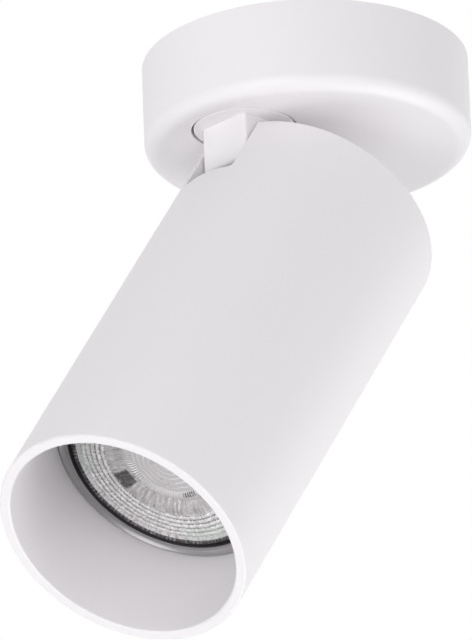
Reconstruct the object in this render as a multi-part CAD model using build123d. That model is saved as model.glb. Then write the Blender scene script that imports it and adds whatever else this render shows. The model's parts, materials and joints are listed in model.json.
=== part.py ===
from build123d import *
import math
import os

# Surface mounted ceiling spotlight: a round canopy, a swivelling hinge post and a tubular head.
#
# Millimetres. The origin is the centre of the canopy's ceiling face, +Z points up into the
# ceiling and the light aims towards -Y. The head is drawn in its own frame, whose origin is
# the centre of the tube's rear end, with +Z along the tube to its mouth and +Y towards the
# side that carries the hinge, and is then turned to its rest tilt about the hinge pivot.

# Canopy: the cup that covers the wiring.
CANOPY_RADIUS = 40.0
CANOPY_HEIGHT = 23.0
CANOPY_WALL = 2.0
CANOPY_FLOOR = 2.4
CANOPY_EDGE_RADIUS = 3.6
CANOPY_INNER_RADIUS = 1.6

# Swivel: the disc that turns in the canopy and carries the hinge post.
DISC_RADIUS = 12.4
DISC_THICK = 2.0
DISC_GAP = 0.6
DISC_CHAMFER = 0.3
DISC_MARGIN = 1.7
HUB_RADIUS = 7.95
NECK_RADIUS = 6.0
NECK_LENGTH = 7.2
LEDGE_THICK = 2.8
LEDGE_RIM = 2.2
WIRE_RADIUS = 3.4

# Hinge post: a square block under the disc, with a round knuckle about the tilt pivot.
POST_SIZE = 14.8
POST_EDGE_RADIUS = 1.0
POST_LENGTH = 11.0
POST_SHOULDER = 0.8
KNUCKLE_RADIUS = 5.4
KNUCKLE_EDGE_RADIUS = 0.5
PIVOT_SCREW_RADIUS = 2.0
POST_FRONT_WALL = 4.1
WIRE_POCKET_ROOF = 6.0

# Lamp: a 50 mm twist-lock reflector lamp.
LAMP_RADIUS = 25.0
LAMP_BODY_LENGTH = 47.0
LAMP_PIN_LENGTH = 7.0
LAMP_WALL = 1.2
LAMP_BASE_RADIUS = 12.0
LAMP_BASE_LENGTH = 9.0
LAMP_NECK_MARGIN = 2.0
LAMP_RIM_LENGTH = 4.5
LAMP_RIM_LIP = 0.85
LAMP_BEZEL_THICK = 2.6
LAMP_BEZEL_ROUND = 0.3
BOWL_TOP_SLOPE = (-0.12, -1.0)
BOWL_LOW_SLOPE = (-0.75, -1.0)
BASE_FLAT_INSET = 3.5
BASE_COLLAR = 2.0
BASE_CHAMFER = 0.5
PIN_CIRCLE_RADIUS = 5.0
PIN_RADIUS = 1.5
PIN_HEAD_RADIUS = 2.5
PIN_HEAD_LENGTH = 3.6
PIN_CHAMFER = 0.5
TWIST_ANGLE = 30.0

# Lens: an outer band, rows of round ridges, a sunk ribbed zone, a crown ridge and a dome.
LENS_RECESS = 0.1
LENS_ROWS_RADIUS = 22.5
LENS_ROW_COUNT = 5
LENS_ROW_RISE = 0.3
LENS_BOWL_RADIUS = 16.1
LENS_BOWL_DROP = 0.9
LENS_BOWL_TAPER = 0.6
LENS_CROWN_RADIUS = 11.8
LENS_CROWN_WIDTH = 2.2
LENS_CROWN_RISE = 0.7
LENS_DOME_RISE = 0.9

# Light sources inside the lamp.
BOARD_RADIUS = 11.0
BOARD_THICK = 1.6
CHIP_SIZE = 2.8
CHIP_THICK = 0.9
CHIP_COUNT = 6
CHIP_CIRCLE_RADIUS = 6.6

# Trim ring round the lamp.
RING_LAMP_GAP = 0.4
RING_WIDTH = 3.4
RING_TUBE_GAP = 0.05
RING_RECESS = 27.8
RING_FACE_THICK = 1.6
RING_LIP_RISE = 0.5
RING_LIP_WIDTH = 1.1
RING_STEP = 0.15
RING_SKIRT_LENGTH = 8.0
RING_SKIRT_WALL = 1.2
RING_LIP_LENGTH = 3.6
RING_EDGE_RADIUS = 0.4

# Head tube.
TUBE_WALL = 2.65
TUBE_LENGTH = 120.8
TUBE_EDGE_RADIUS = 0.5
TILT = 34.3
PIVOT_DEPTH = 6.16
PIVOT_INSET = 6.33
SLOT_END_GAP = 3.84
SLOT_SIDE_GAP = 0.7
SLOT_CORNER_RADIUS = 1.2
LAMP_RECESS = 27.8

# Clearances.
JOINT_GAP = 0.3
RUNNING_GAP = 0.05
FIT_GAP = 0.05
SWEEP_GAP = 0.4
OVERCUT = 1.0

# Swivel stack.
THRUST_WASHER_THICK = 0.5
THRUST_WASHER_INSET = 1.0
FRICTION_WASHER_THICK = 0.8
FRICTION_WASHER_RADIUS = 11.3
STOP_WASHER_THICK = 1.0
STOP_WASHER_RADIUS = 11.0
STOP_WIDTH = 1.6
STOP_REACH = 13.9
STOP_ROOT = 0.5
STOP_LUG_GAP = 0.6
WAVE_WASHER_THICK = 0.8
WAVE_WASHER_RADIUS = 9.6
WAVE_WASHER_ROUND = 0.24
NUT_ACROSS_FLATS = 17.0
NUT_THICK = 3.8
NUT_CHAMFER = 0.6
NUT_CHAMFER_SPREAD = 3.0
BUSH_WALL = 0.8
BUSH_LENGTH = 5.0
BUSH_FLANGE_RADIUS = 5.2
BUSH_FLANGE_THICK = 1.0

# Ceiling bracket.
BRACKET_THICK = 1.5
BRACKET_WIDTH = 16.0
BRACKET_BEND_RADIUS = 0.6
CEILING_SLOT_LENGTH = 9.0
CEILING_SLOT_WIDTH = 4.6
CEILING_SLOT_MARGIN = 1.5
CABLE_HOLE_RADIUS = 5.5
HOOK_WALL_GAP = 1.1
HOOK_DROP = 4.5
HOOK_REACH = 4.4
HOOK_WIDTH = 8.0
LUG_THICK = 1.6
LUG_REACH = 3.6
TAB_WALL_GAP = 2.0
TAB_DROP = 11.0
TAB_WIDTH = 9.0
LOCK_SCREW_DROP = 7.0
EARTH_X = 12.0
EARTH_TAG_RADIUS = 3.6
EARTH_TAG_THICK = 0.8
EARTH_TONGUE_START = 2.7
EARTH_TONGUE_END = 5.4
EARTH_BARREL_START = 5.1
EARTH_BARREL_LENGTH = 4.0
EARTH_BARREL_BORE = 1.0

# Screws.
M3_RADIUS = 1.5
PAN_HEAD_RADIUS = 2.8
PAN_HEAD_THICK = 1.9
PAN_ROUND_SHARE = 0.4
DRIVE_WIDTH = 0.7
DRIVE_DEPTH = 0.8
SCREW_TIP = 1.0

# Terminal block on the canopy floor.
BLOCK_WALL_GAP = 10.5
BLOCK_POLES = 3
BLOCK_PITCH = 9.0
BLOCK_POLE_WIDTH = 8.0
BLOCK_LENGTH = 15.0
BLOCK_BASE_THICK = 4.0
BLOCK_HEIGHT = 10.5
BLOCK_ROUND = 1.0
BLOCK_TUBE_RADIUS = 2.2
BLOCK_TUBE_BORE = 1.5
BLOCK_TUBE_INSET = 1.5
BLOCK_SCREW_SPACING = 7.0
BLOCK_WELL_RADIUS = 1.7
CLAMP_SCREW_RADIUS = 1.2
CLAMP_SCREW_SINK = 1.0
CLAMP_SCREW_LIFT = 0.5

# Rear cap and hinge ears.
CAP_THICK = 2.0
CAP_SEAT_STEP = 0.45
CAP_SEAT_DEPTH = 3.2
CAP_CHAMFER = 0.4
EAR_THICK = 1.8
EAR_RADIUS = 4.3
PIVOT_WASHER_THICK = 0.6
PIVOT_WASHER_RADIUS = 3.9
PIVOT_HEAD_RADIUS = 2.6
PIVOT_HEAD_THICK = 1.9
VENT_COUNT = 5
VENT_PITCH = 5.2
VENT_WIDTH = 2.2
VENT_LENGTH = 24.0
VENT_FIRST = -19.0
CAP_BOSS_RADIUS = 3.2
CAP_BOSS_LENGTH = 5.0
CAP_BOSS_X = 16.4
CAP_LUG_WIDTH = 8.0
CAP_LUG_LENGTH = 6.8
CAP_LUG_REACH = 6.0
CAP_SCREW_LENGTH = 8.0
CAP_SCREW_HEAD_RADIUS = 2.9
CAP_SCREW_HEAD_THICK = 1.7
CAP_SCREW_SINK = 0.25

# Lampholder and its bracket.
HOLDER_LENGTH = 28.0
HOLDER_WIDTH = 22.0
HOLDER_CORNER_RADIUS = 4.0
HOLDER_CHAMFER = 0.6
HOLDER_THICK = 15.0
HOLDER_FACE_THICK = 2.6
HOLDER_SCREW_X = 10.5
HOLDER_COUNTERBORE_RADIUS = 3.0
HOLDER_COUNTERBORE_DEPTH = 4.0
CONTACT_THICK = 0.6
CRADLE_THICK = 1.2
CRADLE_WIDTH = 14.0
CRADLE_HALF_SPAN = 21.0
CRADLE_FOOT_LENGTH = 8.0
CRADLE_BEND_RADIUS = 0.54
CRADLE_WIRE_RADIUS = 4.0

# Heights on the swivel axis, from the canopy's face down and back up through the ledge.
UNDERSIDE_Z = -CANOPY_HEIGHT
FLOOR_Z = UNDERSIDE_Z + CANOPY_FLOOR
DISC_TOP_Z = UNDERSIDE_Z + DISC_THICK
LEDGE_LOW_Z = DISC_TOP_Z + THRUST_WASHER_THICK + JOINT_GAP
LEDGE_TOP_Z = LEDGE_LOW_Z + LEDGE_THICK
SHOULDER_Z = LEDGE_TOP_Z + JOINT_GAP
STOP_WASHER_Z = SHOULDER_Z + FRICTION_WASHER_THICK
WAVE_WASHER_Z = STOP_WASHER_Z + STOP_WASHER_THICK
NUT_Z = WAVE_WASHER_Z + WAVE_WASHER_THICK
NECK_TOP_Z = SHOULDER_Z + NECK_LENGTH
PIVOT_Z = UNDERSIDE_Z - POST_LENGTH

# Places in the canopy, worked in from its wall.
CANOPY_BORE = CANOPY_RADIUS - CANOPY_WALL
SWIVEL_OFFSET = CANOPY_RADIUS - CANOPY_EDGE_RADIUS - DISC_MARGIN - DISC_GAP - DISC_RADIUS
LEDGE_RADIUS = DISC_RADIUS + DISC_GAP + LEDGE_RIM
TAB_X = CANOPY_BORE - TAB_WALL_GAP
HOOK_TIP_X = CANOPY_BORE - HOOK_WALL_GAP
HOOK_X = HOOK_TIP_X - HOOK_REACH
CEILING_SLOT_X = HOOK_X - BRACKET_THICK - CEILING_SLOT_MARGIN - CEILING_SLOT_LENGTH / 2
BLOCK_Y = CANOPY_BORE - BLOCK_WALL_GAP - BLOCK_LENGTH / 2
BLOCK_AXIS_Z = BLOCK_BASE_THICK + BLOCK_TUBE_RADIUS
BLOCK_FIXING_X = BLOCK_PITCH / 2

# Places in the head's frame: x across, y towards the hinge side, z from the rear end.
TUBE_BORE = LAMP_RADIUS + RING_LAMP_GAP + RING_WIDTH + RING_TUBE_GAP
TUBE_RADIUS = TUBE_BORE + TUBE_WALL
PIVOT_Y = TUBE_BORE - PIVOT_INSET
CAP_RADIUS = TUBE_BORE + CAP_SEAT_STEP - FIT_GAP
CAP_LOW = CAP_SEAT_DEPTH - CAP_THICK
SLOT_HALF = POST_SIZE / 2 + SLOT_SIDE_GAP
SLOT_LENGTH = PIVOT_DEPTH + POST_SIZE / 2 + SLOT_END_GAP
NOTCH_Y = PIVOT_Y - POST_SIZE / 2 - SWEEP_GAP
EAR_X = POST_SIZE / 2 + PIVOT_WASHER_THICK + JOINT_GAP
LAMP_FRONT = TUBE_LENGTH - LAMP_RECESS
LAMP_REAR = LAMP_FRONT - LAMP_BODY_LENGTH
LAMP_NECK = LAMP_REAR + LAMP_BASE_LENGTH
LENS_TOP = LAMP_FRONT - LENS_RECESS
LENS_SEAT = LAMP_FRONT - LAMP_BEZEL_THICK
LENS_RADIUS = LAMP_RADIUS - LAMP_RIM_LIP - FIT_GAP
RING_FRONT = TUBE_LENGTH - RING_RECESS
RING_OUTER = TUBE_BORE - RING_TUBE_GAP
RING_INNER = LAMP_RADIUS + RING_LAMP_GAP
HOLDER_FRONT = LAMP_REAR - JOINT_GAP
HOLDER_REAR = HOLDER_FRONT - HOLDER_THICK
CRADLE_REAR = HOLDER_REAR - CRADLE_THICK
CRADLE_FOOT = CAP_SEAT_DEPTH + CAP_BOSS_LENGTH
POCKET_FLOOR = LAMP_REAR - LAMP_PIN_LENGTH - JOINT_GAP - CONTACT_THICK
POCKET_MOUTH = HOLDER_FRONT - HOLDER_FACE_THICK

SWIVEL = Pos(0, -SWIVEL_OFFSET, 0)
PIVOT = Pos(0, -SWIVEL_OFFSET, PIVOT_Z)
HEAD = PIVOT * Rot(-TILT, 0, 0) * Pos(0, PIVOT_Y, PIVOT_DEPTH) * Rot(180, 0, 0)

ON_BASE = (Align.CENTER, Align.CENTER, Align.MIN)


def rod(radius, low, high):
    """Return a round rod on the Z axis between two heights."""
    return Pos(0, 0, low) * Cylinder(radius, high - low, align=ON_BASE)


def ring(outer, inner, low, high):
    """Return a plain ring on the Z axis between two heights."""
    return rod(outer, low, high) - rod(inner, low - OVERCUT, high + OVERCUT)


def block(x_low, x_high, y_low, y_high, z_low, z_high):
    """Return a box between two corners."""
    centre = Pos((x_low + x_high) / 2, (y_low + y_high) / 2, z_low)
    return centre * Box(x_high - x_low, y_high - y_low, z_high - z_low, align=ON_BASE)


def cross_rod(radius, low, high):
    """Return a round rod on the X axis between two places."""
    return Rot(0, 90, 0) * rod(radius, low, high)


def lowest_edges(solid):
    """Return the edges of a solid's lowest face."""
    return solid.edges().group_by(Axis.Z)[0]


def highest_edges(solid):
    """Return the edges of a solid's highest face."""
    return solid.edges().group_by(Axis.Z)[-1]


def pan_screw(radius, length, head_radius=PAN_HEAD_RADIUS, head_thick=PAN_HEAD_THICK):
    """Return a slotted pan screw: the head's seat is at z = 0 and the shank runs down."""
    head = rod(head_radius, 0, head_thick)
    head = fillet(highest_edges(head), PAN_ROUND_SHARE * head_thick)
    return head - drive_slot(head_radius, head_thick) + rod(radius, -length, 0)


def drive_slot(head_radius, top):
    """Return the cutter of a screw's drive slot, across a head whose top is at a height."""
    reach = head_radius + OVERCUT
    return block(-reach, reach, -DRIVE_WIDTH / 2, DRIVE_WIDTH / 2, top - DRIVE_DEPTH, top + OVERCUT)


def slot_tool(width, length, low, high):
    """Return a round-ended cutter along X, centred on the Z axis."""
    return Pos(0, 0, low) * extrude(SlotOverall(length, width), high - low)


# ---- canopy and what is fixed to the ceiling -------------------------------------------


def make_canopy():
    """Return the cup with its swivel seat, stop lug, hook lug and screw holes."""
    outer = rod(CANOPY_RADIUS, UNDERSIDE_Z, 0)
    outer = fillet(lowest_edges(outer), CANOPY_EDGE_RADIUS)
    inner = rod(CANOPY_BORE, FLOOR_Z, OVERCUT)
    cup = outer - fillet(lowest_edges(inner), CANOPY_INNER_RADIUS)
    inside = rod(CANOPY_RADIUS - CANOPY_WALL / 2, UNDERSIDE_Z, 0)
    cup += inside & SWIVEL * (rod(LEDGE_RADIUS, FLOOR_Z - OVERCUT, LEDGE_TOP_Z) + stop_lug())
    cup -= SWIVEL * rod(DISC_RADIUS + DISC_GAP, UNDERSIDE_Z - OVERCUT, LEDGE_LOW_Z)
    cup -= SWIVEL * rod(HUB_RADIUS + RUNNING_GAP, UNDERSIDE_Z - OVERCUT, LEDGE_TOP_Z + OVERCUT)
    cup += inside & block(CANOPY_BORE - LUG_REACH, CANOPY_RADIUS, -HOOK_WIDTH, HOOK_WIDTH,
                          -HOOK_DROP, LUG_THICK - HOOK_DROP)
    lock_hole = cross_rod(M3_RADIUS + FIT_GAP, -CANOPY_RADIUS - OVERCUT, OVERCUT - CANOPY_BORE)
    cup -= Pos(0, 0, -LOCK_SCREW_DROP) * lock_hole
    block_screw_way = rod(M3_RADIUS, UNDERSIDE_Z + CANOPY_FLOOR / 3, 0)
    return cup - Pos(BLOCK_FIXING_X, BLOCK_Y, 0) * block_screw_way


def stop_lug():
    """Return the lug that the stop washer's tab meets at both ends of the turn."""
    return block(-STOP_WIDTH / 2, STOP_WIDTH / 2, FRICTION_WASHER_RADIUS + STOP_LUG_GAP, STOP_REACH,
                 LEDGE_TOP_Z - OVERCUT, WAVE_WASHER_Z + STOP_LUG_GAP)


def make_ceiling_bracket():
    """Return the pressed strap: two ceiling slots, a hook at one end, a tab at the other."""
    thick = BRACKET_THICK
    outline = Polyline(
        (-TAB_X, 0), (HOOK_X, 0), (HOOK_X, -HOOK_DROP), (HOOK_TIP_X, -HOOK_DROP),
        (HOOK_TIP_X, -HOOK_DROP - thick), (HOOK_X - thick, -HOOK_DROP - thick),
        (HOOK_X - thick, -thick), (thick - TAB_X, -thick), (thick - TAB_X, -TAB_DROP),
        (-TAB_X, -TAB_DROP), close=True)
    strap = extrude(Plane.XZ * make_face(outline), BRACKET_WIDTH / 2, both=True)
    strap = fillet(bend_edges(strap), BRACKET_BEND_RADIUS)
    for x_low, x_high, width in ((HOOK_X - 2 * thick, HOOK_TIP_X + OVERCUT, HOOK_WIDTH),
                                 (-TAB_X - OVERCUT, 2 * thick - TAB_X, TAB_WIDTH)):
        for side in (-1, 1):
            edge = side * (width / 2 + BRACKET_WIDTH / 2)
            strap -= block(x_low, x_high, edge - BRACKET_WIDTH / 2, edge + BRACKET_WIDTH / 2,
                           -TAB_DROP - OVERCUT, OVERCUT)
    for side in (-1, 1):
        strap -= Pos(side * CEILING_SLOT_X, 0, 0) * slot_tool(
            CEILING_SLOT_WIDTH, CEILING_SLOT_LENGTH, -thick - OVERCUT, OVERCUT)
    strap -= rod(CABLE_HOLE_RADIUS, -thick - OVERCUT, OVERCUT)
    strap -= Pos(-EARTH_X, 0, 0) * rod(M3_RADIUS, -thick - OVERCUT, OVERCUT)
    return strap - Pos(-TAB_X, 0, -LOCK_SCREW_DROP) * cross_rod(M3_RADIUS, -OVERCUT, 2 * thick)


def bend_edges(strap):
    """Return the strap's edges along Y, without those at its two cut ends."""
    edges = strap.edges().filter_by(Axis.Y)
    return edges.filter_by(lambda edge: edge.center().X < HOOK_TIP_X - BRACKET_THICK / 2
                           and edge.center().Z > BRACKET_THICK / 2 - TAB_DROP)


def make_canopy_screw():
    """Return the lock screw that holds the canopy to the bracket's tab."""
    length = CANOPY_RADIUS - TAB_X + 2 * BRACKET_THICK
    seat = Pos(-CANOPY_RADIUS, 0, -LOCK_SCREW_DROP) * Rot(0, -90, 0)
    return seat * pan_screw(M3_RADIUS, length)


def make_earth_tag():
    """Return the ring tag with its crimp barrel under the bracket."""
    tag = ring(EARTH_TAG_RADIUS, M3_RADIUS, -EARTH_TAG_THICK, 0)
    tongue = block(EARTH_TONGUE_START, EARTH_TONGUE_END, -M3_RADIUS, M3_RADIUS, -EARTH_TAG_THICK, 0)
    barrel = Rot(0, 90, 0) * ring(M3_RADIUS, EARTH_BARREL_BORE, 0, EARTH_BARREL_LENGTH)
    tag = tag + tongue + Pos(EARTH_BARREL_START, 0, -M3_RADIUS) * barrel
    return Pos(-EARTH_X, 0, -BRACKET_THICK) * Rot(0, 0, 180) * tag


def make_earth_screw():
    """Return the earth screw that clamps the ring tag to the bracket."""
    seat = Pos(-EARTH_X, 0, -BRACKET_THICK - EARTH_TAG_THICK) * Rot(180, 0, 0)
    return seat * pan_screw(M3_RADIUS, BRACKET_THICK + EARTH_TAG_THICK)


def pole_places():
    """Return the x of each pole of the terminal block."""
    return [BLOCK_PITCH * (pole - (BLOCK_POLES - 1) / 2) for pole in range(BLOCK_POLES)]


def clamp_places():
    """Return the place of each clamp screw of the terminal block."""
    return [Pos(x, side * BLOCK_SCREW_SPACING / 2, 0) for x in pole_places() for side in (-1, 1)]


def make_terminal_block():
    """Return the moulded three-pole block with its wire ways and screw wells."""
    half = BLOCK_LENGTH / 2
    span = (BLOCK_POLES - 1) * BLOCK_PITCH + BLOCK_POLE_WIDTH
    body = block(-span / 2, span / 2, -half, half, 0, BLOCK_BASE_THICK)
    for x in pole_places():
        pole = block(x - BLOCK_POLE_WIDTH / 2, x + BLOCK_POLE_WIDTH / 2, -half, half, 0, BLOCK_HEIGHT)
        body += fillet(highest_edges(pole), BLOCK_ROUND)
    for x in pole_places():
        way = Rot(90, 0, 0) * rod(BLOCK_TUBE_RADIUS, -half - OVERCUT, half + OVERCUT)
        body -= Pos(x, 0, BLOCK_AXIS_Z) * way
    for place in clamp_places():
        body -= place * rod(BLOCK_WELL_RADIUS, BLOCK_AXIS_Z, BLOCK_HEIGHT + OVERCUT)
    body -= Pos(BLOCK_FIXING_X, 0, 0) * rod(M3_RADIUS + FIT_GAP, -OVERCUT, BLOCK_HEIGHT)
    body -= Pos(BLOCK_FIXING_X, 0, 0) * rod(PAN_HEAD_RADIUS + FIT_GAP, BLOCK_BASE_THICK / 2,
                                            BLOCK_BASE_THICK)
    return Pos(0, BLOCK_Y, FLOOR_Z) * body


def make_terminal_tubes():
    """Return the brass tubes that lie in the block's wire ways."""
    half = BLOCK_LENGTH / 2 - BLOCK_TUBE_INSET
    tubes = []
    for x in pole_places():
        tube = Rot(90, 0, 0) * ring(BLOCK_TUBE_RADIUS, BLOCK_TUBE_BORE, -half, half)
        tube = Pos(x, 0, BLOCK_AXIS_Z) * tube
        for place in clamp_places():
            tube -= place * rod(CLAMP_SCREW_RADIUS, BLOCK_AXIS_Z, BLOCK_HEIGHT)
        tubes.append(Pos(0, BLOCK_Y, FLOOR_Z) * tube)
    return Compound(tubes)


def make_terminal_screws():
    """Return the clamp screws that stand in the block's wells."""
    top = BLOCK_HEIGHT - CLAMP_SCREW_SINK
    screw = rod(CLAMP_SCREW_RADIUS, BLOCK_AXIS_Z + CLAMP_SCREW_LIFT, top)
    screw -= drive_slot(CLAMP_SCREW_RADIUS, top)
    return Compound([Pos(0, BLOCK_Y, FLOOR_Z) * place * screw for place in clamp_places()])


def make_block_screw():
    """Return the screw that fixes the terminal block to the canopy's floor."""
    seat = Pos(BLOCK_FIXING_X, BLOCK_Y, FLOOR_Z + BLOCK_BASE_THICK / 2)
    length = BLOCK_BASE_THICK / 2 + CANOPY_FLOOR / 2
    return seat * pan_screw(M3_RADIUS, length, PAN_HEAD_RADIUS, BLOCK_BASE_THICK / 2)


# ---- swivel ------------------------------------------------------------------------------


def make_hinge_post():
    """Return the casting: disc, hub, threaded neck and the square post with its knuckle."""
    half = POST_SIZE / 2
    disc = rod(DISC_RADIUS, UNDERSIDE_Z, DISC_TOP_Z)
    body = chamfer(lowest_edges(disc), DISC_CHAMFER)
    body += rod(HUB_RADIUS, UNDERSIDE_Z, SHOULDER_Z) + rod(NECK_RADIUS, UNDERSIDE_Z, NECK_TOP_Z)
    post = block(-half, half, -half, half, PIVOT_Z - POST_SHOULDER, DISC_TOP_Z)
    post = fillet(post.edges().filter_by(Axis.Z) + lowest_edges(post), POST_EDGE_RADIUS)
    knuckle = cross_rod(KNUCKLE_RADIUS, -half, half)
    knuckle = fillet(knuckle.edges().filter_by(GeomType.CIRCLE), KNUCKLE_EDGE_RADIUS)
    body = body + post + Pos(0, 0, PIVOT_Z) * knuckle
    roof = UNDERSIDE_Z - WIRE_POCKET_ROOF
    body -= rod(WIRE_RADIUS, roof - OVERCUT, NECK_TOP_Z + OVERCUT)
    body -= block(-WIRE_RADIUS, WIRE_RADIUS, POST_FRONT_WALL - half, half + OVERCUT,
                  PIVOT_Z - half, roof)
    reach = half + OVERCUT
    return SWIVEL * (body - Pos(0, 0, PIVOT_Z) * cross_rod(PIVOT_SCREW_RADIUS, -reach, reach))


def make_thrust_washer():
    """Return the nylon washer between the disc and the canopy's ledge."""
    outer = DISC_RADIUS - THRUST_WASHER_INSET
    return SWIVEL * ring(outer, HUB_RADIUS, DISC_TOP_Z, DISC_TOP_Z + THRUST_WASHER_THICK)


def make_friction_washer():
    """Return the nylon washer over the ledge."""
    return SWIVEL * ring(FRICTION_WASHER_RADIUS, NECK_RADIUS, SHOULDER_Z, STOP_WASHER_Z)


def make_stop_washer():
    """Return the steel washer whose tab meets the canopy's lug at both ends of the turn."""
    washer = ring(STOP_WASHER_RADIUS, NECK_RADIUS, STOP_WASHER_Z, WAVE_WASHER_Z)
    tab = block(-STOP_WIDTH / 2, STOP_WIDTH / 2, -STOP_REACH, STOP_ROOT - STOP_WASHER_RADIUS,
                STOP_WASHER_Z, WAVE_WASHER_Z)
    return SWIVEL * (washer + tab)


def make_wave_washer():
    """Return the pressed spring washer, drawn flat as it is when the nut is tight."""
    washer = ring(WAVE_WASHER_RADIUS, NECK_RADIUS, WAVE_WASHER_Z, NUT_Z)
    outer = washer.edges().filter_by(GeomType.CIRCLE).sort_by(SortBy.RADIUS)[-2:]
    return SWIVEL * fillet(outer, WAVE_WASHER_ROUND)


def make_swivel_nut():
    """Return the hexagon nut on the neck, chamfered at the top."""
    nut = extrude(RegularPolygon(NUT_ACROSS_FLATS / 2, 6, major_radius=False), NUT_THICK)
    corner = NUT_ACROSS_FLATS / math.sqrt(3)
    cone = Cone(corner + NUT_CHAMFER_SPREAD, corner - NUT_CHAMFER, NUT_THICK, align=ON_BASE)
    bore = rod(NECK_RADIUS, -OVERCUT, NUT_THICK + OVERCUT)
    return SWIVEL * Pos(0, 0, NUT_Z) * ((nut & cone) - bore)


def make_cable_bush():
    """Return the nylon bush that guards the wires at the top of the neck."""
    bore = WIRE_RADIUS - BUSH_WALL
    sleeve = ring(WIRE_RADIUS, bore, NECK_TOP_Z - BUSH_LENGTH, NECK_TOP_Z)
    return SWIVEL * (sleeve + ring(BUSH_FLANGE_RADIUS, bore, NECK_TOP_Z, NECK_TOP_Z + BUSH_FLANGE_THICK))


def both_sides(solid):
    """Return a solid drawn along +X from the tilt pivot, and its mirror image."""
    right = PIVOT * solid
    return Compound([right, mirror(right, Plane.YZ)])


def make_pivot_screws():
    """Return the two shoulder screws that the head tilts on."""
    seat = EAR_X + EAR_THICK + JOINT_GAP
    screw = pan_screw(PIVOT_SCREW_RADIUS, seat - WIRE_RADIUS, PIVOT_HEAD_RADIUS, PIVOT_HEAD_THICK)
    return both_sides(Pos(seat, 0, 0) * Rot(0, 90, 0) * screw)


def make_pivot_washers():
    """Return the friction washers between the post and the head's ears."""
    half = POST_SIZE / 2
    washer = ring(PIVOT_WASHER_RADIUS, PIVOT_SCREW_RADIUS, half, half + PIVOT_WASHER_THICK)
    return both_sides(Rot(0, 90, 0) * washer)


# ---- head, in its own frame --------------------------------------------------------------


def make_head_tube():
    """Return the tube with the post's slot, the cap's seat and the cap screw's countersink."""
    tube = ring(TUBE_RADIUS, TUBE_BORE, 0, TUBE_LENGTH)
    tube = fillet(tube.edges().filter_by(GeomType.CIRCLE), TUBE_EDGE_RADIUS)
    tube -= rod(TUBE_BORE + CAP_SEAT_STEP, -OVERCUT, CAP_SEAT_DEPTH)
    cutter = block(-SLOT_HALF, SLOT_HALF, TUBE_RADIUS / 2, TUBE_RADIUS + OVERCUT,
                   -OVERCUT, SLOT_LENGTH)
    corners = cutter.edges().filter_by(Axis.Y).group_by(Axis.Z)[-1]
    tube -= fillet(corners, SLOT_CORNER_RADIUS)
    entry = cap_screw_place() * rod(CAP_SCREW_HEAD_RADIUS + FIT_GAP, -OVERCUT, 0)
    return tube - cap_screw_form(FIT_GAP) - entry


def cap_screw_place():
    """Return the cap screw's place, on the side away from the hinge."""
    height = CAP_SEAT_DEPTH + CAP_LUG_LENGTH / 2
    return Pos(0, -TUBE_RADIUS, height) * Rot(-90, 0, 0)


def cap_screw_form(gap):
    """Return the countersunk form of the cap screw, wider by a gap."""
    shank = rod(M3_RADIUS + gap, 0, CAP_SCREW_LENGTH)
    head = Cone(CAP_SCREW_HEAD_RADIUS + gap, M3_RADIUS + gap, CAP_SCREW_HEAD_THICK, align=ON_BASE)
    return cap_screw_place() * (shank + head)


def make_cap_screw():
    """Return the countersunk screw that holds the tube to the cap's lug."""
    reach = CAP_SCREW_HEAD_RADIUS + OVERCUT
    sink = rod(reach, -OVERCUT, CAP_SCREW_SINK)
    drive = block(-reach, reach, -DRIVE_WIDTH / 2, DRIVE_WIDTH / 2, 0, CAP_SCREW_SINK + DRIVE_DEPTH)
    return cap_screw_form(0) - cap_screw_place() * (sink + drive)


def make_rear_cap():
    """Return the cast cap: vents, the notch for the post, the two ears and the bosses."""
    inner = rod(TUBE_BORE - FIT_GAP, 0, TUBE_LENGTH)
    cap = chamfer(lowest_edges(rod(CAP_RADIUS, CAP_LOW, CAP_SEAT_DEPTH)), CAP_CHAMFER)
    for low in (EAR_X, -EAR_X - EAR_THICK):
        cap += inner & Pos(low, 0, 0) * hinge_ear()
    cap -= block(-EAR_X, EAR_X, NOTCH_Y, TUBE_RADIUS, -OVERCUT, TUBE_LENGTH)
    bore = cross_rod(PIVOT_SCREW_RADIUS + RUNNING_GAP, -TUBE_RADIUS, TUBE_RADIUS)
    cap -= Pos(0, PIVOT_Y, PIVOT_DEPTH) * bore
    vent = slot_tool(VENT_WIDTH, VENT_LENGTH, -OVERCUT, CAP_SEAT_DEPTH + OVERCUT)
    for row in range(VENT_COUNT):
        cap -= Pos(0, VENT_FIRST + row * VENT_PITCH, 0) * vent
    boss = rod(CAP_BOSS_RADIUS, CAP_LOW, CRADLE_FOOT)
    boss_hole = rod(M3_RADIUS, CAP_SEAT_DEPTH, CRADLE_FOOT + OVERCUT)
    for side in (-1, 1):
        place = Pos(side * CAP_BOSS_X, 0, 0)
        cap = cap + place * boss - place * boss_hole
    lug = block(-CAP_LUG_WIDTH / 2, CAP_LUG_WIDTH / 2, -TUBE_RADIUS, CAP_LUG_REACH - TUBE_BORE,
                CAP_LOW, CAP_SEAT_DEPTH + CAP_LUG_LENGTH)
    screw_hole = rod(M3_RADIUS, 0, CAP_SCREW_LENGTH + OVERCUT)
    return cap + (lug & inner) - cap_screw_place() * screw_hole


def hinge_ear():
    """Return one ear, round about the pivot and straight up to the cap."""
    profile = Pos(PIVOT_Y, PIVOT_DEPTH) * Circle(EAR_RADIUS)
    root = PIVOT_DEPTH - CAP_LOW - CAP_CHAMFER
    profile += Pos(PIVOT_Y, PIVOT_DEPTH - root / 2) * Rectangle(2 * EAR_RADIUS, root)
    return extrude(Plane.YZ * profile, EAR_THICK)


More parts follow.
